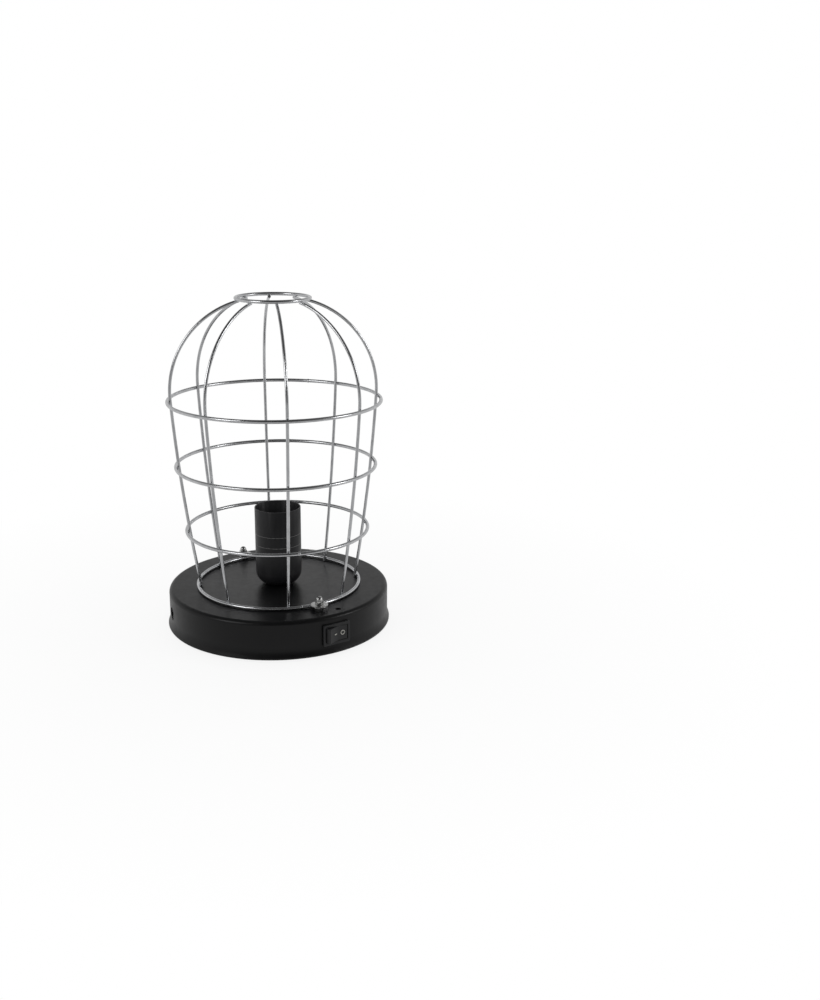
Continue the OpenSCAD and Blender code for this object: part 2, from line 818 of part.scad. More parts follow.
module switch_plunger() {
    tip_y = pivot_y + plunger_reach;
    root_y = pivot_y + 4.5;
    color(porcelain_white)
        with_rocker()
            translate([0, root_y, 0]) rotate([-90, 0, 0]) {
                cylinder(d = plunger_d, h = tip_y - root_y - plunger_d/2, $fn = fine);
                translate([0, 0, tip_y - root_y - plunger_d/2]) sphere(d = plunger_d, $fn = fine);
            }
}

// The spring behind the plunger, as a sleeve of its outer size
module plunger_spring() {
    root_y = pivot_y + 1;
    color(steel_grey)
        with_rocker()
            translate([0, root_y, 0]) rotate([-90, 0, 0])
                difference() {
                    cylinder(d = plunger_d - 0.2, h = 3.5, $fn = fine);
                    translate([0, 0, -1]) cylinder(d = plunger_d - 1, h = 6, $fn = fine);
                }
}

// The seesaw that the plunger tips; the crease behind its middle rocks on the centre tab
module contact_blade() {
    color(brass)
        at_switch_place()
            translate([0, blade_axis_y, 0]) rotate([0, 0, -blade_tilt]) {
                translate([-blade_l/2, -blade_t, -blade_w/2]) cube([blade_l, blade_t, blade_w]);
                cross_bar(0, crease_d, blade_w);
            }
}

module switch_terminals() {
    color(brass)
        at_switch_place() {
            translate([-tab_t/2, centre_tab_y, -tab_w/2])
                cube([tab_t, tab_out - centre_tab_y, tab_w]);
            translate([tab_gap - tab_t/2, blade_stop_y, -tab_w/2])
                cube([tab_t, tab_out - blade_stop_y, tab_w]);
            translate([blade_l/2 - tab_t, blade_stop_y, -blade_w/2])
                cube([tab_gap - blade_l/2 + tab_t, tab_t, blade_w]);
        }
}

// Push-on receptacles that end the two wires on the switch's tabs
module spade_receptacles() {
    l = 8;
    w = 7.4;
    t = 2.6;
    color(brass)
        at_switch_place()
            for (x = [0, tab_gap]) translate([x, receptacle_end - l, 0])
                difference() {
                    translate([-t/2, 0, -w/2]) cube([t, l, w]);
                    translate([-tab_t/2, -1, -tab_w/2]) cube([tab_t, tab_out - receptacle_end + l + 1, tab_w]);
                }
}

// ---- Wiring ----

module terminal_bracket() {
    color(steel_grey)
        difference() {
            translate([strap_end, -strap_w/2, strap_z]) cube([strap_root - strap_end, strap_w, strap_t]);
            translate([0, 0, strap_z - 1])
                cylinder(d = nipple_d + 2*hole_gap, h = strap_t + 2, $fn = round_fn);
            for (side = [-1, 1])
                translate([block_x, side*pole_gap/2, strap_z - 1])
                    cylinder(d = block_screw_d, h = strap_t + 2, $fn = fine);
            translate([earth_x, earth_y, strap_z - 1]) cylinder(d = block_screw_d, h = strap_t + 2, $fn = fine);
        }
}

// Repeats a piece at the two clamping screws of each pole, under the block
module each_grub_screw() {
    for (pole = [-1:1]) for (x = [-pole_screw_x, pole_screw_x])
        translate([block_x + x, pole*pole_gap, block_z]) children();
}

// A three-way block, with a way for a wire from each side of each pole
module terminal_block() {
    color(porcelain_white)
        difference() {
            translate([block_x - block_l/2, -block_w/2, block_z]) cube([block_l, block_w, block_h]);
            for (pole = [-1:1]) translate([block_x, pole*pole_gap, pole_z]) {
                translate([-block_l/2 - 1, 0, 0])
                    rotate([0, 90, 0]) cylinder(d = pole_d, h = block_l/2, $fn = fine);
                translate([block_l/2 - pole_grip, 0, 0])
                    rotate([0, 90, 0]) cylinder(d = wire_d + 2*hole_gap, h = pole_grip + 1, $fn = fine);
            }
            each_grub_screw() translate([0, 0, -1])
                cylinder(d = block_screw_d, h = block_h/2 + wire_d/4 + 1, $fn = fine);
            for (side = [-1, 1]) {
                translate([block_x, side*pole_gap/2, block_z - 1])
                    cylinder(d = block_screw_d, h = block_h + 2, $fn = fine);
                translate([block_x - block_l/2 - 1, side*pole_gap/2 - 0.5, block_z - 1])
                    cube([5, 1, block_h + 2]);
            }
        }
}

module terminal_block_screws() {
    color(steel_grey)
        for (side = [-1, 1]) translate([block_x, side*pole_gap/2, block_z]) {
            mirror([0, 0, 1]) pan_head(1.8*block_screw_d, 1.8);
            cylinder(d = block_screw_d, h = block_h + strap_t, $fn = fine);
        }
}

module terminal_grub_screws() {
    slot_w = 0.6;
    color(brass)
        each_grub_screw()
            difference() {
                cylinder(d = block_screw_d, h = grub_h, $fn = fine);
                translate([-block_screw_d, -slot_w/2, -1]) cube([2*block_screw_d, slot_w, 1.8]);
            }
}

module earth_screw() {
    color(steel_grey)
        translate([earth_x, earth_y, strap_z - tag_t]) {
            mirror([0, 0, 1]) pan_head(earth_head_d, earth_head_h);
            cylinder(d = block_screw_d, h = tag_t + strap_t, $fn = fine);
        }
}

// The earth wire's ring tag: an eye under the screw's head and a crimped barrel
module earth_tag() {
    color(plate_zinc)
        difference() {
            union() {
                translate([earth_x, earth_y, strap_z - tag_t]) cylinder(d = tag_d, h = tag_t, $fn = fine);
                translate([tag_end, earth_y, tag_barrel_z]) rotate([0, 90, 0])
                    cylinder(d = tag_barrel_d, h = tag_barrel_l, $fn = fine);
            }
            translate([earth_x, earth_y, strap_z - tag_t - 1])
                cylinder(d = block_screw_d + 2*hole_gap, h = tag_t + 2, $fn = fine);
        }
}

module live_wire() {
    color("#7a4a2a") wire(live_route);
}

module switched_wire() {
    color("#7a4a2a") wire(switched_route);
}

module neutral_wire() {
    color("#2f63b0") wire(neutral_route);
}

module earth_wire() {
    color("#7fae2e") wire(earth_route);
}

// ---- Assembly ----

base_pan();
bottom_cover();
cover_brackets();
cover_screws();
rubber_feet();
clamp_screws();
foot_ring();
hoop(lower_hoop_h);  // lower_hoop
hoop(middle_hoop_h);  // middle_hoop
hoop(upper_hoop_h);  // upper_hoop
top_ring();
for (i = [0:rib_count - 1]) {
    cage_rib(i);
}
clamp_washers();
cap_nut(0);  // front_cap_nut
cap_nut(180);  // rear_cap_nut
holder_cup();
threaded_nipple();
nipple_nuts();
nipple_washers();
holder_bridge();
porcelain_body();
thread_shell();
centre_contact();
holder_terminals();
holder_screws();
switch_housing();
rocker();
switch_plunger();
plunger_spring();
contact_blade();
switch_terminals();
spade_receptacles();
terminal_bracket();
terminal_block();
terminal_block_screws();
terminal_grub_screws();
earth_screw();
earth_tag();
live_wire();
switched_wire();
neutral_wire();
earth_wire();
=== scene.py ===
"""Looks of a table lamp with a wire cage, laid out as a Blender add-on and run as a script."""

import json
import math

import bmesh
import bpy
from mathutils import Matrix, Vector


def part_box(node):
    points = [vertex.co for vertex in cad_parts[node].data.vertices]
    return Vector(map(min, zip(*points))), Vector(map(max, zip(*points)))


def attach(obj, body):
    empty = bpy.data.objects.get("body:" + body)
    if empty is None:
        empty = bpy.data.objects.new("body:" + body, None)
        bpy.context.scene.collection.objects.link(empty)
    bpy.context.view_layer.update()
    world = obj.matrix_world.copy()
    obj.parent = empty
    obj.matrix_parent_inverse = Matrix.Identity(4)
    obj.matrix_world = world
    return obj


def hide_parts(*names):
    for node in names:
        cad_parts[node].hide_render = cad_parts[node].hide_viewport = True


bl_info = {
    "name": "Caged Infrared Lamp",
    "version": (1, 0, 0),
    "blender": (4, 5, 0),
    "location": "View3D > Sidebar > Lamp",
    "description": "Builds the looks of a caged infrared lamp round its CAD frame",
    "category": "Object",
}

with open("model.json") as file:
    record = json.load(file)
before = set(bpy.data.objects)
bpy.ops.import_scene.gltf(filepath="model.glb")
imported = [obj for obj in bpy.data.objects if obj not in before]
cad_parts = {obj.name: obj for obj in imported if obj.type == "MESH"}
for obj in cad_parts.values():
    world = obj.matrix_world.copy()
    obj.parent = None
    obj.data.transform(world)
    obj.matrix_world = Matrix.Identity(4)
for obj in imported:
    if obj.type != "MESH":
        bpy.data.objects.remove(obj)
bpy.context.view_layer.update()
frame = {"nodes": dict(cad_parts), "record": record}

MM = 0.001
TAU = 2 * math.pi
UP = Vector((0, 0, 1))
WHITE = (1, 1, 1, 1)


# ---- Helpers: modelling ----


def corners(node):
    """Lowest and highest corner of a CAD node, in millimetres."""
    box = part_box(node)
    return [v / MM for v in box[0]], [v / MM for v in box[1]]


def turn(degrees, axis="Z"):
    """A turn about an axis. About Z, it takes a piece from the front, -Y, to a direction."""
    return Matrix.Rotation(math.radians(degrees), 4, axis)


def moved(x, y, z):
    """A shift in millimetres."""
    return Matrix.Translation(Vector((x, y, z)) * MM)


def alone(obj=None):
    """Leaves edit mode and selects one piece, or nothing."""
    if bpy.context.object and bpy.context.object.mode != "OBJECT":
        bpy.ops.object.mode_set(mode="OBJECT")
    bpy.ops.object.select_all(action="DESELECT")
    if obj:
        bpy.context.view_layer.objects.active = obj
        obj.select_set(True)


def start(name, kind, **settings):
    """Adds a primitive alone in the selection and opens it in edit mode."""
    alone()
    getattr(bpy.ops.mesh, f"primitive_{kind}_add")(**settings)
    obj = bpy.context.object
    obj.name = obj.data.name = name
    bpy.ops.object.mode_set(mode="EDIT")
    return obj


def pick(obj, test, kind="VERT"):
    """Selects the vertices or edges of the open piece whose middle, in mm, passes a test."""
    bpy.ops.mesh.select_mode(type=kind)
    bpy.ops.mesh.select_all(action="DESELECT")
    mesh = bmesh.from_edit_mesh(obj.data)
    for e in mesh.verts if kind == "VERT" else mesh.edges:
        spots = [e.co] if kind == "VERT" else [v.co for v in e.verts]
        middle = sum(spots, Vector()) / len(spots)
        if test(obj.matrix_world @ middle / MM, e):
            e.select_set(True)
    mesh.select_flush_mode()
    bmesh.update_edit_mesh(obj.data)


def outward():
    """Turns the faces of the open piece outward."""
    bpy.ops.mesh.select_all(action="SELECT")
    bpy.ops.mesh.normals_make_consistent(inside=False)


def merge_same():
    """Merges the points of the open piece that lie together."""
    bpy.ops.mesh.select_all(action="SELECT")
    bpy.ops.mesh.remove_doubles(threshold=MM * 1e-3)


def line(name, points):
    """Draws an open line through points in millimetres, by extruding one vertex."""
    obj = start(name, "plane", size=MM, location=Vector(points[0]) * MM)
    bpy.ops.mesh.select_mode(type="VERT")
    bpy.ops.mesh.select_all(action="SELECT")
    bpy.ops.mesh.merge(type="CENTER")
    for a, b in zip(points, points[1:]):
        step = (Vector(b) - Vector(a)) * MM
        bpy.ops.mesh.extrude_region_move(TRANSFORM_OT_translate={"value": step})
    return obj


def loop(name, points):
    """Draws a closed line through points in millimetres."""
    obj = line(name, points)
    pick(obj, lambda c, e: len(e.link_edges) < 2)
    bpy.ops.mesh.edge_face_add()
    return obj


def slab(name, points, depth, smooth=35):
    """A flat outline in the XY plane, in millimetres, drawn up into a solid."""
    obj = loop(name, [(p[0], p[1], 0) for p in points])
    bpy.ops.mesh.select_all(action="SELECT")
    bpy.ops.mesh.edge_face_add()
    bpy.ops.mesh.extrude_region_move(TRANSFORM_OT_translate={"value": UP * depth * MM})
    outward()
    return close(obj, smooth)


def block(name, low, high, radius=0, along=2, segments=6):
    """An open box between two corners, with the edges along one axis rounded if asked."""
    low, high = Vector(low), Vector(high)
    obj = start(name, "cube", size=MM, location=(low + high) / 2 * MM, scale=high - low)
    close(obj)
    bpy.ops.object.mode_set(mode="EDIT")
    if radius:
        pick(
            obj,
            lambda c, e: abs((e.verts[0].co - e.verts[1].co).normalized()[along]) > 0.9,
            "EDGE",
        )
        bpy.ops.mesh.bevel(offset=radius * MM, segments=segments, affect="EDGES")
    return obj


def peg(name, radius, depth, sides=32, middle=(0, 0, 0)):
    """A cylinder along Z, in millimetres."""
    return close(start(
        name, "cylinder",
        vertices=sides, radius=radius * MM, depth=depth * MM, location=Vector(middle) * MM,
    ))


def cut(obj, tool, operation="DIFFERENCE"):
    """Cuts a piece with another, which goes."""
    close(tool)
    modify(obj, "BOOLEAN", object=tool, operation=operation, solver="EXACT")
    bpy.data.objects.remove(tool)


def wind(obj, pitch, turns, steps=28):
    """Winds a closed line up a helix round +Z and closes its ends."""
    modify(
        obj, "SCREW", angle=TAU * turns, screw_offset=pitch * turns * MM,
        steps=int(steps * turns), render_steps=int(steps * turns), iterations=1,
    )
    bpy.ops.object.mode_set(mode="EDIT")
    bpy.ops.mesh.select_all(action="SELECT")
    bpy.ops.mesh.fill_holes(sides=0)
    outward()
    return obj


def thread(name, core, major, pitch, bottom, top):
    """The ridge of a screw thread between two heights, its root sunk a little in the core."""
    root, wide, flat = core - 0.12, 0.44 * pitch, 0.1 * pitch
    obj = loop(name, [
        (root, 0, bottom), (major, 0, bottom + wide - flat),
        (major, 0, bottom + wide + flat), (root, 0, bottom + 2 * wide),
    ])
    return close(wind(obj, pitch, (top - bottom - 2 * wide) / pitch), 50)


def tube(name, points, radius):
    """A round wire through points in millimetres, with flat ends."""
    line(name, points)
    bpy.ops.object.mode_set(mode="OBJECT")
    bpy.ops.object.convert(target="CURVE")
    curve = bpy.context.object.data
    curve.bevel_depth = radius * MM
    curve.bevel_resolution = 5
    curve.use_fill_caps = True
    bpy.ops.object.convert(target="MESH")
    bpy.ops.object.mode_set(mode="EDIT")
    merge_same()
    outward()
    return close(bpy.context.object, 60)


def lathe(name, profile, steps=128, smooth=35):
    """Spins a closed profile of (radius, height) or (radius, height, corner radius) about +Z."""
    points = [Vector((p[0], 0, p[1])) for p in profile]
    obj = loop(name, points)
    for i, p in enumerate(profile):
        if len(p) < 3:
            continue
        here = points[i]
        before = (points[i - 1] - here).normalized()
        after = (points[(i + 1) % len(points)] - here).normalized()
        half = before.angle(after) / 2
        pick(obj, lambda c, e: (c - here).length < 1e-3)
        bpy.ops.mesh.bevel(
            offset=p[2] / math.tan(half) * MM, offset_type="OFFSET",
            segments=max(2, int(6 + p[2])), affect="VERTICES", clamp_overlap=False,
        )
    bpy.ops.mesh.select_all(action="SELECT")
    bpy.ops.mesh.delete(type="ONLY_FACE")
    bpy.ops.mesh.select_all(action="SELECT")
    bpy.ops.mesh.spin(steps=steps, angle=TAU, center=(0, 0, 0), axis=UP)
    merge_same()
    bpy.ops.mesh.dissolve_degenerate(threshold=MM * 1e-3)
    outward()
    return close(obj, smooth)


def band(name, inner, outer, low, high, steps):
    """A flat ring between two radii and two heights."""
    return lathe(name, [(inner, low), (outer, low), (outer, high), (inner, high)], steps)


def close(obj, smooth=35):
    """Leaves edit mode, puts the piece's place in its mesh and shades it."""
    alone(obj)
    bpy.ops.object.transform_apply(location=True, rotation=True, scale=True)
    bpy.ops.object.shade_smooth_by_angle(angle=math.radians(smooth))
    return obj


def modify(obj, kind, **settings):
    """Adds a modifier and applies it."""
    alone(obj)
    modifier = obj.modifiers.new(kind.lower(), kind)
    for key, value in settings.items():
        setattr(modifier, key, value)
    bpy.ops.object.modifier_apply(modifier=modifier.name)


def bevel(obj, width, segments=2, angle=30):
    """Rounds the sharp edges of a piece."""
    modify(
        obj, "BEVEL", width=width * MM, segments=segments,
        limit_method="ANGLE", angle_limit=math.radians(angle), use_clamp_overlap=True,
    )


def put(obj, place):
    """Moves a closed piece's mesh."""
    obj.data.transform(place)
    return obj


def twin(obj, place):
    """A copy of a piece at a place."""
    made = obj.copy()
    made.data = obj.data.copy()
    bpy.context.scene.collection.objects.link(made)
    return put(made, place)


def copied(obj, places, name):
    """Joins a copy of a piece at each place into one piece, and removes the first."""
    made = [twin(obj, place) for place in places]
    bpy.data.objects.remove(obj)
    return join(made, name)


def join(pieces, name):
    """Joins pieces into the first one."""
    alone(pieces[0])
    for piece in pieces[1:]:
        piece.select_set(True)
    if len(pieces) > 1:
        bpy.ops.object.join()
    pieces[0].name = pieces[0].data.name = name
    return pieces[0]


def dress(obj, slot, body, *nodes, material=None):
    """Gives a piece its material, slot and body, and hides the CAD nodes that it stands for."""
    obj.data.materials.clear()
    obj.data.materials.append(material or finishes()[slot])
    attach(obj, body)
    if nodes:
        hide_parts(*nodes)


# ---- Helpers: materials ----


def linear(text):
    """An sRGB hex colour as linear RGBA."""
    parts = [int(text[i : i + 2], 16) / 255 for i in (1, 3, 5)]
    return tuple(
        c / 12.92 if c <= 0.04045 else ((c + 0.055) / 1.055) ** 2.4 for c in parts
    ) + (1,)


def times(colour, factor, plus=0.0):
    """A paler or darker colour."""
    return tuple(min(1.0, c * factor + plus) for c in tuple(colour)[:3]) + (1,)


def add(tree, kind, inputs=None, **settings):
    """Adds a node with its settings. An input is a value, or another node's output to link."""
    made = tree.nodes.new("ShaderNode" + kind)
    for key, value in settings.items():
        setattr(made, key, value)
    for key, value in (inputs or {}).items():
        if isinstance(value, bpy.types.NodeSocket):
            tree.links.new(value, made.inputs[key])
        else:
            made.inputs[key].default_value = value
    return made


def calc(tree, operation, a, b, kind="Math"):
    """A sum on two values or, with VectorMath, on two vectors."""
    return add(tree, kind, {0: a, 1: b}, operation=operation).outputs


def remap(tree, value, low, high, to_low=0.0, to_high=1.0):
    """Maps a value from one range to another, and stops at the ends."""
    ends = {"From Min": low, "From Max": high, "To Min": to_low, "To Max": to_high}
    return add(tree, "MapRange", {"Value": value, **ends}).outputs["Result"]


def ramp(tree, factor, *stops):
    """A colour ramp from (place, grey level or colour) stops."""
    made = add(tree, "ValToRGB", {"Fac": factor})
    elements = made.color_ramp.elements
    while len(elements) < len(stops):
        elements.new(0.5)
    for element, (place, level) in zip(elements, stops):
        element.position = place
        element.color = level if isinstance(level, tuple) else (level,) * 3 + (1,)
    return made.outputs["Color"]


def new_material(name):
    """A new material, its node tree, its shader and the piece's own coordinates."""
    made = bpy.data.materials.new(name)
    made.use_nodes = True
    tree = made.node_tree
    return made, tree, tree.nodes["Principled BSDF"], add(tree, "TexCoord").outputs["Object"]


def grain(tree, place, size, detail=2.0, roughness=0.5):
    """Noise whose features are about a size in millimetres."""
    noise = {"Vector": place, "Scale": 1 / (size * MM), "Detail": detail, "Roughness": roughness}
    return add(tree, "TexNoise", noise).outputs["Fac"]


def mottled(name, mottle, stops, fine, rough, relief, depth, **constants):
    """A material whose colour, roughness and relief each follow noise.

    mottle, fine and relief are (size in mm, detail, roughness) of the three noises. stops are
    the colour's ramp, rough is the lowest and highest roughness, and depth is the relief's, in mm.
    """
    made, tree, shader, place = new_material(name)
    for key, value in constants.items():
        shader.inputs[key.replace("_", " ")].default_value = value
    tint = ramp(tree, grain(tree, place, *mottle), *stops)
    tree.links.new(tint, shader.inputs["Base Color"])
    # Noise stays near a half, so its middle stretch is spread over the whole range
    matt = remap(tree, grain(tree, place, *fine), 0.3, 0.7, *rough)
    tree.links.new(matt, shader.inputs["Roughness"])
    if depth:
        height = grain(tree, place, *relief)
        bump = add(tree, "Bump", {"Height": height, "Distance": depth * MM, "Strength": 1.0})
        tree.links.new(bump.outputs["Normal"], shader.inputs["Normal"])
    return made


# ---- Materials ----


def black_enamel(name, lift=1.0):
    """Stoved enamel sprayed on pressed sheet steel: near black, satin, with a faint orange peel."""
    dark = times(bpy.context.scene.lamp_finish.enamel, lift)
    # Orange peel is 1 to 2 mm across; it is drawn at 1.6 mm so that it shows in close views
    return mottled(
        name, (35.0, 3.0), ((0.35, dark), (0.75, times(dark, 1.35))),
        (6.0, 4.0, 0.6), (0.30, 0.38), (1.6, 1.0), 0.012, Metallic=0.0, IOR=1.4,
    )


def pan_enamel_with_painted_sheen():
    """The pan's enamel with a painted sheen: its IOR is 1.5 on its top inside the cage's ring and
    1.36 elsewhere, so that the top there reflects more and looks paler.
    """
    made = black_enamel("stoved_black_enamel_on_pan")
    tree = made.node_tree
    place = add(tree, "TexCoord").outputs["Object"]
    flat = calc(tree, "MULTIPLY", place, Vector((1.0, 1.0, 0.0)), "VectorMath")["Vector"]
    out = add(tree, "VectorMath", {0: flat}, operation="LENGTH").outputs["Value"]
    inner = remap(tree, out, 82 * MM, 80 * MM)
    up = add(tree, "SeparateXYZ", {0: place}).outputs["Z"]
    top = calc(tree, "GREATER_THAN", up, (PAN_TOP - 0.4) * MM)[0]
    # Painted sheen: the top inside the ring is given a higher IOR than the rest, so that it reflects
    # more and looks paler
    painted_sheen_zone = calc(tree, "MULTIPLY", inner, top)[0]
    shader = tree.nodes["Principled BSDF"]
    tree.links.new(remap(tree, painted_sheen_zone, 0.0, 1.0, 1.36, 1.5), shader.inputs["IOR"])
    return made


def bright_plate():
    """Zinc and clear passivate on drawn wire: bright, with dull spots and fine drawing lines."""
    bright = tuple(bpy.context.scene.lamp_finish.plate)
    return mottled(
        "bright_zinc_plate_on_wire", (9.0, 4.0, 0.6), ((0.32, times(bright, 0.8)), (0.6, bright)),
        (0.8, 3.0, 0.6), (0.16, 0.26), (0.5, 2.0), 0.004, Metallic=1.0,
    )


def plain_metal(name, colour, rough, size=4.0, depth=0.004):
    """Sheet, turned or drawn metal: its tint drifts a little, and its roughness is uneven."""
    bright = linear(colour)
    return mottled(
        name, (size, 4.0, 0.6), ((0.3, times(bright, 0.72)), (0.65, bright)),
        (0.7, 3.0), (rough * 0.8, rough * 1.2), (0.7, 3.0), depth, Metallic=1.0,
    )


def moulded(name, colour, rough, size=0.5, depth=0.006):
    """Moulded plastic or rubber: one colour, faintly mottled, with the mould's spark texture."""
    base = linear(colour)
    return mottled(
        name, (8.0, 3.0), ((0.35, base), (0.7, times(base, 1.12, 0.002))),
        (size, 2.0), (rough * 0.9, rough * 1.1), (size, 2.0), depth, Metallic=0.0, IOR=1.5,
    )


def glazed_porcelain():
    """Pressed electrical porcelain under a clear glaze: warm white, glossy, with faint specks."""
    return mottled(
        "glazed_electrical_porcelain", (5.0, 5.0, 0.7),
        ((0.3, linear("#e6e2d6")), (0.6, linear("#f1efe7"))),
        (3.0,), (0.18, 0.28), (2.5, 1.0), 0.01,
        Metallic=0.0, IOR=1.52, Coat_Weight=0.6, Coat_Roughness=0.05,
    )


def printed_grey():
    """Thin pale ink printed on the enamel: matt and a little worn."""
    return mottled(
        "pale_printing_ink", (1.2, 3.0), ((0.35, linear("#6e6e6e")), (0.6, linear("#a2a2a1"))),
        (1.2, 3.0), (0.5, 0.6), None, 0, Metallic=0.0, IOR=1.5,
    )


FINISHES = {}


def finishes():
    """Makes every material once, by its slot in the record."""
    if not FINISHES:
        FINISHES.update(
            black_enamel=black_enamel("stoved_black_enamel_on_steel"),
            pan_enamel=pan_enamel_with_painted_sheen(),
            cup_enamel=black_enamel("matt_black_enamel_on_cup", 3.6),
            plated_wire=bright_plate(),
            plated_hardware=plain_metal("bright_nickel_plate", "#d0d0cf", 0.16, 3.0, 0.002),
            steel=plain_metal("zinc_plated_sheet_steel", "#a9abad", 0.34),
            brass=plain_metal("rolled_brass_strip", "#c9a35c", 0.3),
            porcelain=glazed_porcelain(),
            black_moulding=moulded("moulded_black_polyamide", "#19191b", 0.42),
            white_moulding=moulded("moulded_white_polyamide", "#e2e0d8", 0.45),
            rubber=moulded("moulded_black_rubber", "#161617", 0.7, 0.8, 0.01),
            brown_insulation=moulded("brown_wire_insulation", "#6b3d22", 0.4),
            blue_insulation=moulded("blue_wire_insulation", "#2c5fae", 0.4),
            green_insulation=moulded("green_wire_insulation", "#6f9f2a", 0.4),
        )
    return FINISHES


# ---- Sizes and colours that a user would change ----


class LampFinish(bpy.types.PropertyGroup):
    """Colours of the lamp."""

    enamel: bpy.props.FloatVectorProperty(
        name="Enamel",
        description="Colour of the black enamel on the base and cup",
        subtype="COLOR", size=4, min=0, max=1, default=linear("#0d0d0e"),
    )
    plate: bpy.props.FloatVectorProperty(
        name="Plate",
        description="Colour of the bright plating on the cage",
        subtype="COLOR", size=4, min=0, max=1, default=linear("#dcdddf"),
    )


class LampStudio(bpy.types.PropertyGroup):
    """Light and camera round the lamp."""

    lens: bpy.props.FloatProperty(
        name="Lens",
        description="Focal length for a 36 mm long side",
        subtype="DISTANCE_CAMERA", default=42.55,
    )
    key: bpy.props.FloatProperty(
        name="Top light",
        description="Power of the soft light overhead",
        subtype="POWER", unit="POWER", default=9.0,
    )


# ---- Stage ----


class LAMP_OT_stage(bpy.types.Operator):
    """Sets the camera, the soft studio light, the world and the pale floor."""

    bl_idname = "lamp.stage"
    bl_label = "Stage"

    # The camera as fitted to the hoops of the photograph: degrees, metres and radians
    azimuth, away, height = -25.5, 1.1409, 0.45675
    yaw, pitch, roll = 0.116333, 0.282328, 0.009838
    # How light the room is in gloss, from behind the lamp (0) to the camera's side (1)
    floor_stops = (0.0, 0.62), (0.45, 0.60), (0.68, 0.52), (0.85, 0.46), (1.0, 0.42)
    world_stops = (0.0, 0.66), (0.45, 0.64), (0.62, 0.50), (0.80, 0.16), (1.0, 0.06)
    # The same from the horizon (0) to the zenith (1)
    ceiling_stops = (0.0, 1.0), (0.30, 0.90), (0.80, 0.14)
    # Direction from the lamp to the camera's side
    camera_side = Vector((-0.43, -0.90, 0.0))
    # Place, width and share of the top light's power
    lamps = {
        "top_light": ((0.2, 0.3, 1.6), 1.2, 1.0),
        "left_light": ((-1.5, -0.3, 0.9), 0.9, 0.55),
        "right_light": ((1.25, -1.15, 0.8), 0.6, 0.45),
    }

    def execute(self, context):
        studio = context.scene.lamp_studio
        self.camera(context, studio.lens)
        self.floor()
        self.world(context)
        self.lights(studio.key)
        context.scene.view_settings.view_transform = "Standard"
        return {"FINISHED"}

    def camera(self, context, lens):
        """The photograph's camera."""
        yaw, pitch, roll = self.yaw, self.pitch, self.roll
        level = math.cos(pitch)
        ahead = Vector((math.sin(yaw) * level, math.cos(yaw) * level, -math.sin(pitch)))
        right = Vector((math.cos(yaw), -math.sin(yaw), 0))
        above = right.cross(ahead)
        side = right * math.cos(roll) + above * math.sin(roll)
        top = above * math.cos(roll) - right * math.sin(roll)
        spin = turn(self.azimuth).to_3x3()
        place = spin @ Vector((0, -self.away, 0)) + UP * self.height
        axes = Matrix([spin @ v for v in (side, top, -ahead)]).transposed()
        bpy.ops.object.select_all(action="DESELECT")
        bpy.ops.object.camera_add(location=place)
        camera = context.object
        camera.name = "camera"
        camera.matrix_world = Matrix.Translation(place) @ axes.to_4x4()
        camera.data.lens = lens
        camera.data.sensor_width = 36
        camera.data.sensor_fit = "AUTO"
        camera.data.clip_start = 0.05
        camera.data.clip_end = 60
        context.scene.camera = camera

    def floor(self):
        """A white sweep that keeps the lamp's soft shadow near it, and is plain further out."""
        floor = close(start(
            "studio_floor", "circle", vertices=96, radius=6.0, fill_type="NGON",
            location=(0, 0, 0),
        ))
        made, tree, shader, place = new_material("white_studio_floor")
        tree.nodes.remove(shader)
        path = add(tree, "LightPath").outputs
        mirrored = self.room(tree, place, 0.45, self.floor_stops)
        mirrored = calc(tree, "MULTIPLY", mirrored, path["Is Glossy Ray"])[0]
        seen = calc(tree, "ADD", self.seen(tree, path), mirrored)[0]
        matt = add(tree, "BsdfDiffuse", {"Color": (0.85, 0.85, 0.85, 1)}).outputs[0]
        glow = add(tree, "Emission", {"Color": WHITE, "Strength": seen}).outputs[0]
        reach = add(tree, "VectorMath", {0: place}, operation="LENGTH").outputs["Value"]
        share = remap(tree, reach, 0.16, 0.50, 0.88, 1.0)
        lifted = add(tree, "MixShader", {0: share, 1: matt, 2: glow}).outputs[0]
        tree.links.new(lifted, tree.nodes["Material Output"].inputs["Surface"])
        floor.data.materials.append(made)

    def seen(self, tree, path):
        """Whether a ray comes from the camera, straight or through something clear."""
        return calc(tree, "MAXIMUM", path["Is Camera Ray"], path["Is Transmission Ray"])[0]

    def room(self, tree, place, reach, stops):
        """How light the room is in gloss, on a ramp that runs over a reach each way."""
        facing = calc(tree, "DOT_PRODUCT", place, self.camera_side, "VectorMath")["Value"]
        return ramp(tree, remap(tree, facing, -reach, reach), *stops)

    def world(self, context):
        """White to the camera, even for shadows, and in gloss darker above and in front."""
        world = bpy.data.worlds.new("studio")
        context.scene.world = world
        world.use_nodes = True
        tree = world.node_tree
        path = add(tree, "LightPath").outputs
        aim = add(tree, "TexCoord").outputs["Generated"]
        up = add(tree, "SeparateXYZ", {0: aim}).outputs["Z"]
        ceiling = ramp(tree, up, *self.ceiling_stops)
        room = calc(tree, "MULTIPLY", self.room(tree, aim, 1.0, self.world_stops), ceiling)[0]
        plain, mirror, white = (
            add(tree, "Background", {"Color": colour, "Strength": strength}).outputs[0]
            for colour, strength in ((WHITE, 0.45), (room, 1.0), (WHITE, 1.0))
        )
        glossy = add(tree, "MixShader", {0: path["Is Glossy Ray"], 1: plain, 2: mirror}).outputs[0]
        final = add(tree, "MixShader", {0: self.seen(tree, path), 1: glossy, 2: white}).outputs[0]
        tree.links.new(final, tree.nodes["World Output"].inputs["Surface"])

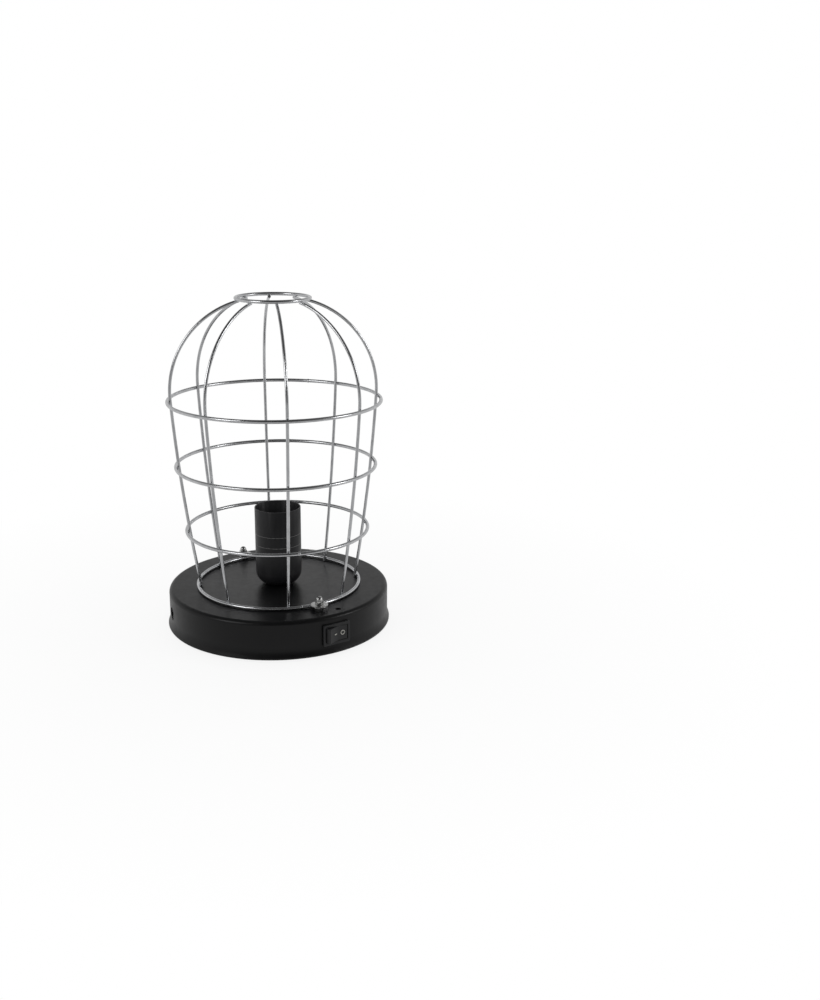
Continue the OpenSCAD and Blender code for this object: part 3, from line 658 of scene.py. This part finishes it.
    def lights(self, key):
        """One wide soft light overhead, and one at each side."""
        for name, (place, size, share) in self.lamps.items():
            bpy.ops.object.select_all(action="DESELECT")
            bpy.ops.object.light_add(type="AREA", location=place)
            light = bpy.context.object
            light.name = light.data.name = name
            light.data.shape = "DISK"
            light.data.size = size
            light.data.energy = key * share
            aim = Vector((0, 0, 0.15)) - Vector(place)
            light.rotation_euler = aim.to_track_quat("-Z", "Y").to_euler()
            light.visible_glossy = name != "top_light"


class LAMP_OT_finishes(bpy.types.Operator):
    """Gives every CAD node that stays in view the material of its slot."""

    bl_idname = "lamp.finishes"
    bl_label = "Finishes"

    own = {"base_pan": "pan_enamel", "holder_cup": "cup_enamel"}

    def execute(self, context):
        for part in frame["record"]["subparts"]:
            slots = frame["nodes"][part["node"]].data.materials
            slots.clear()
            slots.append(finishes()[self.own.get(part["node"], part["material_slot"])])
        return {"FINISHED"}


# ---- Pieces, in millimetres ----

PAN_TOP = corners("base_pan")[1][2]
WALL_R = 110
SWITCH_AZ = 3.0
# How far in from the wall the rocker's pivot lies
PIVOT_IN = 1.0


def wire_of(node):
    """Radius, height and thickness of a hoop's wire, at its middle."""
    low, high = corners(node)
    wire = high[2] - low[2]
    return high[0] - wire / 2, (low[2] + high[2]) / 2, wire


def rib_direction(node):
    """The azimuth of a rib, from the front, in degrees."""
    points = [v.co for v in frame["nodes"][node].data.vertices]
    middle = sum(points, Vector()) / len(points)
    return math.degrees(math.atan2(middle.x, -middle.y))


def cross_recess(obj, low, width, length, depth):
    """Cuts a cross recess in a screw's head, whose face looks down at a height."""
    x, y = length / 2.5, width / 3.8
    for spin in (0, 90):
        slot = block("recess", (-x, -y, -depth), (x, y, depth))
        pick(slot, lambda c, e: c.z > 0)
        bpy.ops.transform.resize(value=(0.55, 0.7, 1))
        cut(obj, put(close(slot), moved(0, 0, low) @ turn(spin)))
    close(obj)


def hexagon(name, corner, low, tall, bore, ease, slope, edge):
    """A hexagon nut on a corner radius, with both faces chamfered and a bore."""
    flat, wide, high = corner * math.cos(math.radians(30)) - ease, corner + 0.3, low + tall
    nut = peg(name, corner, tall, 6, (0, 0, low + tall / 2))
    cone = lathe(name + "_cone", [
        (0, low), (flat, low), (wide, low + slope),
        (wide, high - slope), (flat, high), (0, high),
    ], 96)
    cut(nut, cone, "INTERSECT")
    cut(nut, bore)
    bevel(nut, edge, 2, 25)
    return close(nut, 30)


class LAMP_OT_welds(bpy.types.Operator):
    """Welds the ribs to the hoops and rings, and closes each hoop with a butt weld."""

    bl_idname = "lamp.welds"
    bl_label = "Cage welds"

    # Where each hoop's own joint lies, in degrees from the front
    joints = {
        "foot_ring": -10.8, "lower_hoop": -13.2, "middle_hoop": 146.0,
        "upper_hoop": 134.6, "top_ring": 70.0,
    }
    # Half of a bead's profile: distance past the wire's surface and along the wire
    swell = (0.3, 0.35), (0.04, 0.9), (-0.3, 1.3)

    def execute(self, context):
        ribs = [n for n in frame["nodes"] if n.startswith("cage_rib_")]
        welds = join([self.crossing(h, ribs) for h in self.joints], "cage_welds")
        dress(welds, "plated_wire", "cage")
        beads = join([self.bead(h, az) for h, az in self.joints.items()], "hoop_joints")
        dress(beads, "plated_wire", "cage")
        return {"FINISHED"}

    def crossing(self, hoop, ribs):
        """The flattened metal squeezed out where a hoop lies on each rib."""
        radius, height, wire = wire_of(hoop)
        spot = start("weld", "uv_sphere", segments=20, ring_count=12, radius=MM)
        bpy.ops.transform.resize(value=(1.9, 0.75, 1.55))
        close(spot, 80)
        lift, inward = 0.0, wire / 2
        if hoop == "top_ring":
            # The ribs meet this ring from below, a little inside its middle
            put(spot, turn(-62, "X"))
            lift, inward = -0.44 * wire, 0.235 * wire
        places = [
            turn(rib_direction(r)) @ moved(0, inward - radius, height + lift) for r in ribs
        ]
        return copied(spot, places, "welds_at_" + hoop)

    def bead(self, hoop, azimuth):
        """The swollen ring of a flash butt weld."""
        radius, height, wire = wire_of(hoop)
        if hoop == "top_ring":
            # Dressed flush, so that nothing stands above the cage
            height -= 0.35
        half = [(wire / 2 + out, along) for out, along in self.swell]
        profile = [(r, -z) for r, z in half[::-1]] + half
        ring = lathe("joint_of_" + hoop, profile, 32, 70)
        return put(ring, turn(azimuth) @ moved(0, -radius, height) @ turn(90, "Y"))


class LAMP_OT_clamps(bpy.types.Operator):
    """Makes the threaded clamp screws, the washers with their bent heels and the cap nuts."""

    bl_idname = "lamp.clamps"
    bl_label = "Cage clamps"

    heel_turn = -40.0
    nut_tall = 4.0
    dome_r = 3.2

    def execute(self, context):
        nut_low, nut_high = corners("front_cap_nut")
        washer_low, washer_high = corners("clamp_washers")
        screw_low, screw_high = corners("clamp_screws")
        stud = moved(0, (nut_low[1] + nut_high[1]) / 2, 0)
        both = [stud, turn(180) @ stud]
        screw = self.screw(screw_low[2], screw_high[2])
        screws = copied(screw, both, "threaded_clamp_screws")
        dress(screws, "steel", "base", "clamp_screws")
        washers = copied(self.washer(washer_low[2], washer_high[2]), both, "heeled_washers")
        dress(washers, "plated_hardware", "cage", "clamp_washers")
        corner = (nut_high[0] - nut_low[0]) / 2
        nut = self.nut(corner, nut_low[2], nut_high[2], screw_high[2])
        for end, place in zip(("front", "rear"), both):
            piece = join([twin(nut, place)], end + "_dome_nut")
            dress(piece, "plated_hardware", end + "_nut", end + "_cap_nut")
        bpy.data.objects.remove(nut)
        return {"FINISHED"}

    def screw(self, low, high):
        """A pan-head screw pushed up through the pan, with a cross recess and its thread."""
        head, core = PAN_TOP - 1, 1.6
        shank = lathe("clamp_screw_shank", [
            (0, low), (2.9, low, 0.9), (4.0, low + 1.5, 0.4), (4.0, head, 0.15),
            (core, head), (core, high, 0.5), (0, high),
        ], 48)
        cross_recess(shank, low, 1.5, 4.4, 0.9)
        ridge = thread("clamp_screw_thread", core, 2.0, 0.7, head + 0.6, high - 0.3)
        return join([shank, ridge], "clamp_screw")

    def washer(self, low, high):
        """A thick round washer, whose heel is bent down to the pan."""
        under = high - 1.0
        disc = lathe("washer_disc", [
            (2.2, under, 0.12), (8.5, under, 0.25), (8.5, high, 0.35), (2.2, high, 0.2),
        ], 96)
        outer, inner = -9.0, -7.6
        heel = block("washer_heel", (-2.15, outer, low), (2.15, inner, high - 0.02))
        pick(heel, lambda c, e: abs(c.y - outer) < 0.01 and abs(c.z - high) < 0.1, "EDGE")
        bpy.ops.mesh.bevel(offset=1.1 * MM, segments=8, affect="EDGES")
        pick(heel, lambda c, e: abs(c.y - inner) < 0.01 and abs(c.z - low) < 0.01, "EDGE")
        bpy.ops.mesh.bevel(offset=0.3 * MM, segments=3, affect="EDGES")
        bevel(heel, 0.18, 3, 40)
        return join([disc, put(close(heel), turn(self.heel_turn))], "heeled_washer")

    def nut(self, corner, low, high, screw_top):
        """A hexagon nut with chamfered corners, closed by a drawn dome."""
        rim = corner - corner * math.cos(math.radians(30))
        bore = peg("nut_bore", 2.05, 10, 48, (0, 0, low))
        foot = hexagon("nut_hexagon", corner, low, self.nut_tall, bore, 0.1, rim * 0.8, 0.1)
        middle, top = high - self.dome_r, low + self.nut_tall
        arc = [
            (self.dome_r * math.cos(a), middle + self.dome_r * math.sin(a))
            for a in [math.radians(d) for d in range(10, 90, 8)]
        ]
        dome = lathe("nut_dome", [
            (2.05, low + 0.2), (3.05, low + 0.2), (3.05, top - 0.4), (3.35, top, 0.3),
            (self.dome_r, top + 0.5), *arc,
            (0, high), (0, screw_top + 0.2), (2.05, screw_top + 0.2),
        ], 64)
        return join([foot, put(dome, turn(30))], "dome_nut")


def at_switch(tilt=0.0):
    """The switch's own place: +X to the right from outside, +Y into the base."""
    low, high = corners("switch_housing")
    spot = turn(SWITCH_AZ) @ moved(0, -WALL_R, (low[2] + high[2]) / 2)
    return spot @ moved(0, PIVOT_IN, 0) @ turn(tilt) @ moved(0, -PIVOT_IN, 0)


class LAMP_OT_switch(bpy.types.Operator):
    """Makes the rocker switch: its bezel and body, the dished rocker, its marks and the spring."""

    bl_idname = "lamp.switch"
    bl_label = "Switch"

    # Half width, nearest and furthest depth and half height, from the middle of the bezel's back
    bezel = 14.5, -2.0, 0.0, 10.5
    body = 13.3, -0.2, 18.0, 9.3
    well = 12.1, -4.0, 14.6, 7.5
    # The rocker's radius, height, half width at its face, depth of its back and dish
    rocker_r, rocker_h, reach, back, dish = 11.8, 14.4, 10.55, 6.0, 2.2
    face_in = -2.2
    tilt = 11.0

    def execute(self, context):
        for piece, slot, body, tilt, nodes in (
            (self.housing(), "black_moulding", "base", 0.0, ["switch_housing"]),
            (self.rocker(), "black_moulding", "rocker", self.tilt, ["rocker"]),
            (self.marks(), "white_moulding", "rocker", self.tilt, []),
            (self.spring(), "steel", "rocker", self.tilt, ["plunger_spring"]),
        ):
            dress(put(piece, at_switch(tilt)), slot, body, *nodes)
        return {"FINISHED"}

    def face(self, x):
        """How far in the rocker's dished face lies."""
        return self.face_in - self.dish * (abs(x) / self.rocker_r) ** 1.5

    def box(self, name, size, radius, segments=3):
        """A box of the switch, with its edges rounded that run into the base."""
        x, near, far, z = size
        return block(name, (-x, near, -z), (x, far, z), radius, 1, segments)

    def housing(self):
        """A moulded bezel and body, with the rocker's well and the two spring latches."""
        bezel, near = self.box("switch_bezel", self.bezel, 1.4, 6), self.bezel[1]
        pick(bezel, lambda c, e: abs(c.y - near) < 0.01 and e.calc_face_angle(0) > 1, "EDGE")
        bpy.ops.mesh.bevel(offset=0.55 * MM, segments=5, affect="EDGES")
        close(bezel, 40)
        cut(bezel, self.box("switch_body", self.body, 0.6), "UNION")
        cut(bezel, self.box("switch_well", self.well, 0.5))
        for x in (0, 9):
            cut(bezel, block("tab_slit", (x - 0.4, 13.0, -3.15), (x + 0.4, 20.0, 3.15)))
        bevel(bezel, 0.2, 3, 60)
        pieces = [bezel]
        for side in (-1, 1):
            latch = slab("latch", [(side * x, y) for x, y in ((12.5, 3), (14.1, 3), (12.5, 9))], 8)
            bevel(latch, 0.15)
            pieces.append(put(latch, moved(0, 0, -4)))
        return close(join(pieces, "moulded_switch_housing"))

    def rocker(self):
        """A rocker whose face is dished towards its middle, on two short trunnions."""
        r, tall = self.rocker_r, self.rocker_h
        low = math.asin((self.back - PIVOT_IN) / r)
        high = math.asin((PIVOT_IN - self.face(self.reach)) / r)
        right = [
            (r * math.cos(a), PIVOT_IN + r * math.sin(a))
            for a in [low - (low + high) * i / 8 for i in range(9)]
        ]
        face = [(x, self.face(x)) for x in [self.reach * (1 - i / 8) for i in range(1, 16)]]
        left = [(-x, y) for x, y in right[::-1]]
        body = slab("rocker_body", right + face + left, tall, 30)
        bevel(body, 0.45, 4, 40)
        put(body, moved(0, 0, -tall / 2))
        pin = peg("rocker_pin", 1.5, tall + 2, 40, (0, PIVOT_IN, 0))
        bevel(pin, 0.25)
        stem = lathe("rocker_stem", [(1.4, -1), (2.5, -1), (2.5, 3, 0.3), (1.4, 3, 0.2)], 40)
        put(stem, moved(0, self.back, 0) @ turn(-90, "X"))
        return close(join([body, pin, stem], "dished_rocker"), 30)

    def marks(self):
        """The printed on and off marks: a short bar at the raised end and a ring at the other."""
        bar = close(block("on_mark", (-1.5, -0.45, 0), (1.5, 0.45, 0.25), 0.2))
        ring = band("off_mark", 1.6, 2.3, 0, 0.25, 48)
        for mark, spot in ((bar, -2.6), (ring, 5.8)):
            slope = math.atan(1.5 * self.dish * abs(spot) ** 0.5 / self.rocker_r**1.5)
            lie = Matrix.Rotation(-math.copysign(slope, spot), 4, "Z")
            put(mark, moved(spot, self.face(spot) + 0.1, 0) @ lie @ turn(90, "X"))
        return join([bar, ring], "on_off_marks")

    def spring(self):
        """The small coil spring behind the plunger."""
        wire, coil, height, turns = 0.2, 1.0, 3.5, 5
        section = [
            (coil + wire * math.cos(a), 0, wire + wire * math.sin(a))
            for a in [TAU * i / 8 for i in range(8)]
        ]
        helix = wind(loop("coil_spring", section), (height - 2 * wire) / turns, turns)
        return put(close(helix, 60), moved(0, 2, 0) @ turn(-90, "X"))


class LAMP_OT_cup_lines(bpy.types.Operator):
    """Prints the two thin pale lines of the band round the lampholder cup."""

    bl_idname = "lamp.cup_lines"
    bl_label = "Cup lines"

    def execute(self, context):
        radius = corners("holder_cup")[1][0]
        rings = [
            band("cup_line", radius - 0.32, radius + 0.02, z, z + 0.3, 96)
            for z in (PAN_TOP + 42.5, PAN_TOP + 53.5)
        ]
        lines = join(rings, "printed_cup_lines")
        dress(lines, "black_enamel", "base", material=printed_grey())
        return {"FINISHED"}


class LAMP_OT_lampholder(bpy.types.Operator):
    """Makes the lampholder's porcelain body, threaded shell, springy contact and screws."""

    bl_idname = "lamp.lampholder"
    bl_label = "Lampholder"

    # Distance of the holder's screws from the axis
    screw_r = 16.65

    def execute(self, context):
        dress(self.porcelain(), "porcelain", "base", "porcelain_body")
        dress(self.shell(), "brass", "base", "thread_shell")
        dress(self.contact(), "brass", "base", "centre_contact")
        dress(self.screws(), "steel", "base", "holder_screws")
        return {"FINISHED"}

    def porcelain(self):
        """A turned and pressed body with the shell's seat, a well and two terminal pockets."""
        low, high = corners("porcelain_body")
        shell_low, shell_high = corners("thread_shell")
        r, under, top = high[0], low[2], high[2]
        seat, floor, well = shell_high[0], shell_low[2], corners("centre_contact")[0][2]
        body = lathe("porcelain_turned", [
            (0, under), (r, under, 1.0), (r, top - 7), (r - 0.6, top - 6, 0.4),
            (r - 0.6, top, 1.2), (seat, top, 0.7), (seat, floor),
            (8.0, floor, 0.3), (8.0, well), (0, well),
        ])
        for side in (-1, 1):
            y = side * 11
            pocket = (-5, y - 4, under - 1), (5, y + 4, under + 9)
            cut(body, block("terminal_pocket", *pocket, 1.0))
            cut(body, peg("screw_hole", 1.5, 60, 32, (side * self.screw_r, 0, top)))
        bevel(body, 0.3, 2, 50)
        return close(body)

    def shell(self):
        """Rolled brass with the round thread of a screw cap holder."""
        low, high = corners("thread_shell")
        low, high, outer = low[2], high[2], high[0]
        inner, floor = outer - 0.4, low + 0.4
        wall = lathe("shell_wall", [
            (9.0, low), (outer, low, 0.3), (outer, high), (inner, high), (inner, floor, 0.3),
            (9.0, floor),
        ])
        pitch, depth, half = 3.628, 0.75, 1.25
        ridge = [
            (outer - 0.3 - depth * math.sin(a), 0, low + 2.4 + half * math.cos(a))
            for a in [math.pi * i / 10 for i in range(11)]
        ]
        helix = close(wind(loop("shell_thread", ridge), pitch, 4.5, 64), 60)
        return join([wall, helix], "rolled_thread_shell")

    def contact(self):
        """A strip of spring brass, folded up from the floor of the well and rising to the middle."""
        low, high = corners("centre_contact")
        thick, wide = 0.55, 6
        floor, top = low[2], high[2] - thick
        path = [
            (-1.0, floor), (-6.0, floor), (-6.4, floor + 0.35), (-6.4, floor + 1.0),
            (-6.0, floor + 1.35), (0.9, top - 0.1), (2.0, top), (4.6, top), (5.0, top - 0.3),
        ]
        back = [(x, z + thick) for x, z in path[::-1] if x > -6.2]
        strip = slab("spring_contact", path + back, wide)
        bevel(strip, 0.12)
        return close(put(strip, moved(0, wide / 2, 0) @ turn(90, "X")), 40)

    def screws(self):
        """The two long screws that hold the porcelain on its bridge."""
        low, high = corners("holder_screws")
        tip, top, head, core = low[2], high[2], corners("porcelain_body")[1][2], 1.1
        shank = lathe("holder_screw_shank", [
            (0, tip), (core, tip, 0.2), (core, head), (2.4, head, 0.15), (2.4, top - 0.9, 0.3),
            (1.4, top, 0.5), (0, top),
        ], 40)
        cut(shank, block("screw_slot", (-3, -0.35, top - 0.8), (3, 0.35, top + 1)))
        close(shank)
        ridge = thread("holder_screw_thread", core, 1.3, 0.5, tip + 0.3, tip + 9)
        places = [turn(a) @ moved(self.screw_r, 0, 0) for a in (0, 180)]
        return copied(join([shank, ridge], "holder_screw"), places, "slotted_holder_screws")


class LAMP_OT_nipple(bpy.types.Operator):
    """Makes the threaded nipple, its two chamfered nuts and the toothed lock washers."""

    bl_idname = "lamp.nipple"
    bl_label = "Nipple and nuts"

    across_flats, nut_tall, washer_tall = 14.0, 4.0, 0.8

    def execute(self, context):
        low, high = corners("threaded_nipple")
        bore, major, core, under, top = 3.5, high[0], high[0] - 0.35, low[2], high[2]
        pipe = lathe("nipple_pipe", [
            (bore, under), (core, under, 0.25), (core, top, 0.25), (bore, top, 0.15),
        ], 64)
        ridge = thread("nipple_thread", core, major, 1.0, under + 0.4, top - 0.4)
        dress(join([pipe, ridge], "threaded_pipe"), "steel", "base", "threaded_nipple")
        for piece, tall, name, node in (
            (self.nut(), self.nut_tall, "chamfered_nuts", "nipple_nuts"),
            (self.lock_washer(), self.washer_tall, "toothed_washers", "nipple_washers"),
        ):
            low, high = corners(node)
            pair = copied(piece, [moved(0, 0, low[2]), moved(0, 0, high[2] - tall)], name)
            dress(pair, "steel", "base", node)
        return {"FINISHED"}

    def nut(self):
        """A thin hexagon nut with both faces chamfered and its bore countersunk."""
        tall, corner = self.nut_tall, self.across_flats / 2 / math.cos(math.radians(30))
        bore = lathe("nut_hole", [
            (0, -1), (5.9, -1), (5.9, -0.2), (5.05, 0.65), (5.05, tall - 0.65),
            (5.9, tall + 0.2), (5.9, tall + 1), (0, tall + 1),
        ], 64)
        nut = hexagon("thin_nut", corner, 0, tall, bore, 0.15, 0.75, 0.12)
        return put(nut, turn(30))

    def lock_washer(self):
        """A spring washer whose rim is cut into ten twisted teeth."""
        ring = band("washer_ring", 5.2, 6.9, 0, self.washer_tall, 60)
        tooth = block("washer_tooth", (6.6, -1.5, 0.05), (7.95, 1.5, 0.75))
        pick(tooth, lambda c, e: c.x > 7)
        bpy.ops.transform.rotate(
            value=math.radians(9), orient_axis="X", center_override=(7.9 * MM, 0, 0.4 * MM)
        )
        close(tooth)
        bevel(tooth, 0.08)
        teeth = copied(tooth, [turn(36 * i + 18) for i in range(10)], "washer_teeth")
        return close(join([ring, teeth], "lock_washer"))


class LAMP_OT_underside(bpy.types.Operator):
    """Makes the moulded bottom cover, its cross-recessed screws and the rubber feet."""

    bl_idname = "lamp.underside"
    bl_label = "Underside"

    # Distance of the feet from the axis, and where the cover's two pressed rings begin
    feet_r = 86
    rings = 30, 68

    def execute(self, context):
        low, high = corners("cover_screws")
        # The screws stand on the diagonals, and their heads are 3 mm in radius
        self.screw_r = (high[0] - 3.0) * math.sqrt(2)
        dress(self.cover(), "black_moulding", "base", "bottom_cover")
        dress(self.screws(low[2], high[2]), "steel", "base", "cover_screws")
        dress(self.feet(), "rubber", "base", "rubber_feet")
        return {"FINISHED"}

    def cover(self):
        """A disc with a rounded rim and two pressed rings, pierced for feet and screws."""
        low, high = corners("bottom_cover")
        r, under, top = high[0], low[2], high[2]
        pressed = [
            (start_r + out, under + rise, 0.4)
            for start_r in self.rings
            for out, rise in ((0, 0), (1.2, 0.45), (3.2, 0.45), (4.4, 0))
        ]
        disc = lathe("moulded_bottom_cover", [
            (0, under), *pressed, (r, under, 0.5), (r, top, 0.3), (0, top),
        ], 192)
        for i in range(4):
            for radius, place_r, spin in (
                (4.0, self.feet_r, 90 * i), (1.7, self.screw_r, 90 * i + 45),
            ):
                hole = peg("cover_hole", radius, 8)
                cut(disc, put(hole, turn(spin) @ moved(0, -place_r, under)))
        return close(disc, 30)

    def screws(self, low, high):
        """Four pan-head screws driven up into the brackets."""
        head, core = low + 2, 1.25
        shank = lathe("cover_screw_shank", [
            (0, low), (2.2, low, 0.7), (3.0, low + 1.1, 0.3), (3.0, head, 0.12),
            (core, head), (core, high - 0.8), (0, high),
        ], 40)
        cross_recess(shank, low, 1.2, 3.4, 0.8)
        ridge = thread("cover_screw_thread", core, 1.5, 0.6, head + 0.2, high - 0.6)
        places = [turn(90 * i + 45) @ moved(0, -self.screw_r, 0) for i in range(4)]
        return copied(join([shank, ridge], "cover_screw"), places, "cross_cover_screws")

    def feet(self):
        """Soft feet with a rounded edge and a hollow middle, pulled through the cover by a barb."""
        top = corners("rubber_feet")[1][2]
        cover_low, cover_high = corners("bottom_cover")
        low, high = cover_low[2], cover_high[2]
        foot = lathe("foot", [
            (0, 0.7), (3.6, 0.7, 0.3), (4.2, 0, 0.4), (8.0, 0, 1.0), (7.5, low, 0.4), (3.98, low),
            (3.98, high), (5.0, high, 0.4), (3.5, top, 0.5), (0, top),
        ], 64)
        places = [turn(90 * i) @ moved(0, -self.feet_r, 0) for i in range(4)]
        return copied(foot, places, "soft_feet")


def smooth_route(points, steps=6):
    """A smooth curve through a route's points, as the CAD wires follow it."""
    spots = [Vector(p) for p in points]
    spots = [spots[0], *spots, spots[-1]]
    path = []
    for a, b, c, d in zip(spots, spots[1:], spots[2:], spots[3:]):
        for t in [s / steps for s in range(steps)]:
            bend, twist = 2 * a - 5 * b + 4 * c - d, 3 * b - a - 3 * c + d
            path.append(0.5 * (2 * b + (c - a) * t + bend * t**2 + twist * t**3))
    return path + [spots[-1]]


class LAMP_OT_wiring(bpy.types.Operator):
    """Runs the insulated wires and makes the terminal block."""

    bl_idname = "lamp.wiring"
    bl_label = "Wiring"

    radius = 1.1
    # Distance between the block's poles
    pole = 9

    def execute(self, context):
        slots = {p["node"]: p["material_slot"] for p in frame["record"]["subparts"]}
        for node, points in self.routes().items():
            wire = tube("insulated_" + node, smooth_route(points), self.radius)
            dress(wire, slots[node], "base", node)
        dress(self.block(), "white_moulding", "base", "terminal_block")
        return {"FINISHED"}

    def routes(self):
        """The routes that the CAD wires follow, in millimetres."""
        low, high = corners("terminal_block")
        out, z = high[0], (low[2] + high[2]) / 2
        top = corners("threaded_nipple")[1][2]
        end_z = corners("holder_terminals")[0][2]
        tag_low, tag_high = corners("earth_tag")
        tag_x, tag_y, tag_z = tag_low[0], 7.0, tag_high[2] - self.radius - 0.5

        def clamped(y):
            """From a clamp in the block to just outside it."""
            return [(out - 6, y, z), (out, y, z), (out + 2, y, z)]

        def switch(x, y):
            """A place behind the switch."""
            return at_switch() @ Vector((x * MM, y * MM, 0)) / MM

        def to_holder(side):
            """From the nipple's top end to a terminal of the holder."""
            x, y = -side * 1.4, side * 4
            up = [(-side, side * 11, end_z - gap) for gap in (5, 2, 0.2)]
            return [(-side * 1.6, 0, top), (x, y, top + 3), *up]

        return {
            "live_wire": [
                *clamped(-self.pole), (out + 8, -12, z - 1), (-18, -24, 28), (-8, -42, 26),
                switch(0, 38), switch(0, 30.2),
            ],
            "switched_wire": [
                switch(9, 30.2), switch(9, 38), (13, -42, 20), (6, -14, 19),
                (1.6, -2, 22), (1.6, 0, 30), *to_holder(-1),
            ],
            "neutral_wire": [
                *clamped(0), (-16, 0, 25), (-5, 0, 20.5), (-1.6, 0, 24), (-1.6, 0, 31),
                *to_holder(1),
            ],
            "earth_wire": [
                *clamped(self.pole), *[(tag_x - gap, tag_y, tag_z) for gap in (4, 2, 0.2)],
            ],
        }

    def block(self):
        """A three-pole block: a raised collar round each screw, wire ways and two fixing holes."""
        low, high = corners("terminal_block")
        x, z, under = (low[0] + high[0]) / 2, (low[2] + high[2]) / 2, low[2]
        body = close(block("block_body", (low[0], low[1], under + 3), high))
        bevel(body, 0.5, 3)
        for y in (-self.pole, 0, self.pole):
            tower = (low[0] + 0.6, y - 3.4, under), (high[0] - 0.6, y + 3.4, under + 6)
            cut(body, block("block_tower", *tower, 1.2), "UNION")
        # Each way's middle, radius, length and turn
        ways = []
        for y in (-self.pole, 0, self.pole):
            for near, reach, radius in ((low[0] - 1, 11, 2.0), (high[0] - 6, 7, 1.3)):
                ways.append(((near + reach / 2, y, z), radius, reach, 90))
            for side in (-6, 6):
                ways.append(((x + side, y, under + 2.6), 1.6, 7.3, 0))
        for side in (-1, 1):
            ways.append(((x, side * self.pole / 2, z), 1.6, 20, 0))
        for middle, radius, reach, lie in ways:
            way = peg("block_way", radius, reach)
            cut(body, put(way, moved(*middle) @ turn(lie, "Y")))
        return close(join([body], "moulded_terminal_block"), 30)


# Rounding of the edges of the CAD nodes that stay in view, in millimetres
SOFTENED = {
    "holder_bridge": 0.3,
    "terminal_bracket": 0.3,
    "cover_brackets": 0.25,
    "contact_blade": 0.12,
    "switch_terminals": 0.15,
    "spade_receptacles": 0.25,
    "holder_terminals": 0.3,
    "terminal_block_screws": 0.15,
    "terminal_grub_screws": 0.1,
    "earth_screw": 0.15,
    "earth_tag": 0.12,
    "holder_cup": 0.25,
}


class LAMP_OT_softened(bpy.types.Operator):
    """Breaks the sharp edges of the CAD nodes that stay in view."""

    bl_idname = "lamp.softened"
    bl_label = "Softened edges"

    def execute(self, context):
        for node, width in SOFTENED.items():
            modifiers = frame["nodes"][node].modifiers
            modifiers.new("weld", "WELD").merge_threshold = 0.002 * MM
            flat = modifiers.new("flat", "DECIMATE")
            flat.decimate_type = "DISSOLVE"
            flat.angle_limit = math.radians(0.5)
            edges = modifiers.new("edges", "BEVEL")
            edges.width = width * MM
            edges.segments = 2
            edges.limit_method = "ANGLE"
            edges.angle_limit = math.radians(40)
            edges.harden_normals = True
        return {"FINISHED"}


class LAMP_PT_panel(bpy.types.Panel):
    """Lists the lamp's pieces, colours and light."""

    bl_idname = "LAMP_PT_panel"
    bl_label = "Caged lamp"
    bl_space_type = "VIEW_3D"
    bl_region_type = "UI"
    bl_category = "Lamp"

    def draw(self, context):
        column = self.layout.column()
        for operator in OPERATORS:
            column.operator(operator.bl_idname)
        for group in (context.scene.lamp_finish, context.scene.lamp_studio):
            for key in group.__annotations__:
                column.prop(group, key)


OPERATORS = (
    LAMP_OT_stage,
    LAMP_OT_finishes,
    LAMP_OT_softened,
    LAMP_OT_welds,
    LAMP_OT_clamps,
    LAMP_OT_switch,
    LAMP_OT_cup_lines,
    LAMP_OT_lampholder,
    LAMP_OT_nipple,
    LAMP_OT_underside,
    LAMP_OT_wiring,
)
GROUPS = {"lamp_finish": LampFinish, "lamp_studio": LampStudio}


def register():
    for group in GROUPS.values():
        bpy.utils.register_class(group)
    for name, group in GROUPS.items():
        setattr(bpy.types.Scene, name, bpy.props.PointerProperty(type=group))
    for made in OPERATORS + (LAMP_PT_panel,):
        bpy.utils.register_class(made)


def unregister():
    for made in (LAMP_PT_panel,) + OPERATORS[::-1]:
        bpy.utils.unregister_class(made)
    for name in GROUPS:
        delattr(bpy.types.Scene, name)
    for group in GROUPS.values():
        bpy.utils.unregister_class(group)


def main():
    """Registers the add-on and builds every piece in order."""
    register()
    for operator in OPERATORS:
        prefix, name = operator.bl_idname.split(".")
        getattr(getattr(bpy.ops, prefix), name)()
    bpy.context.view_layer.update()


if __name__ == "__main__":
    main()
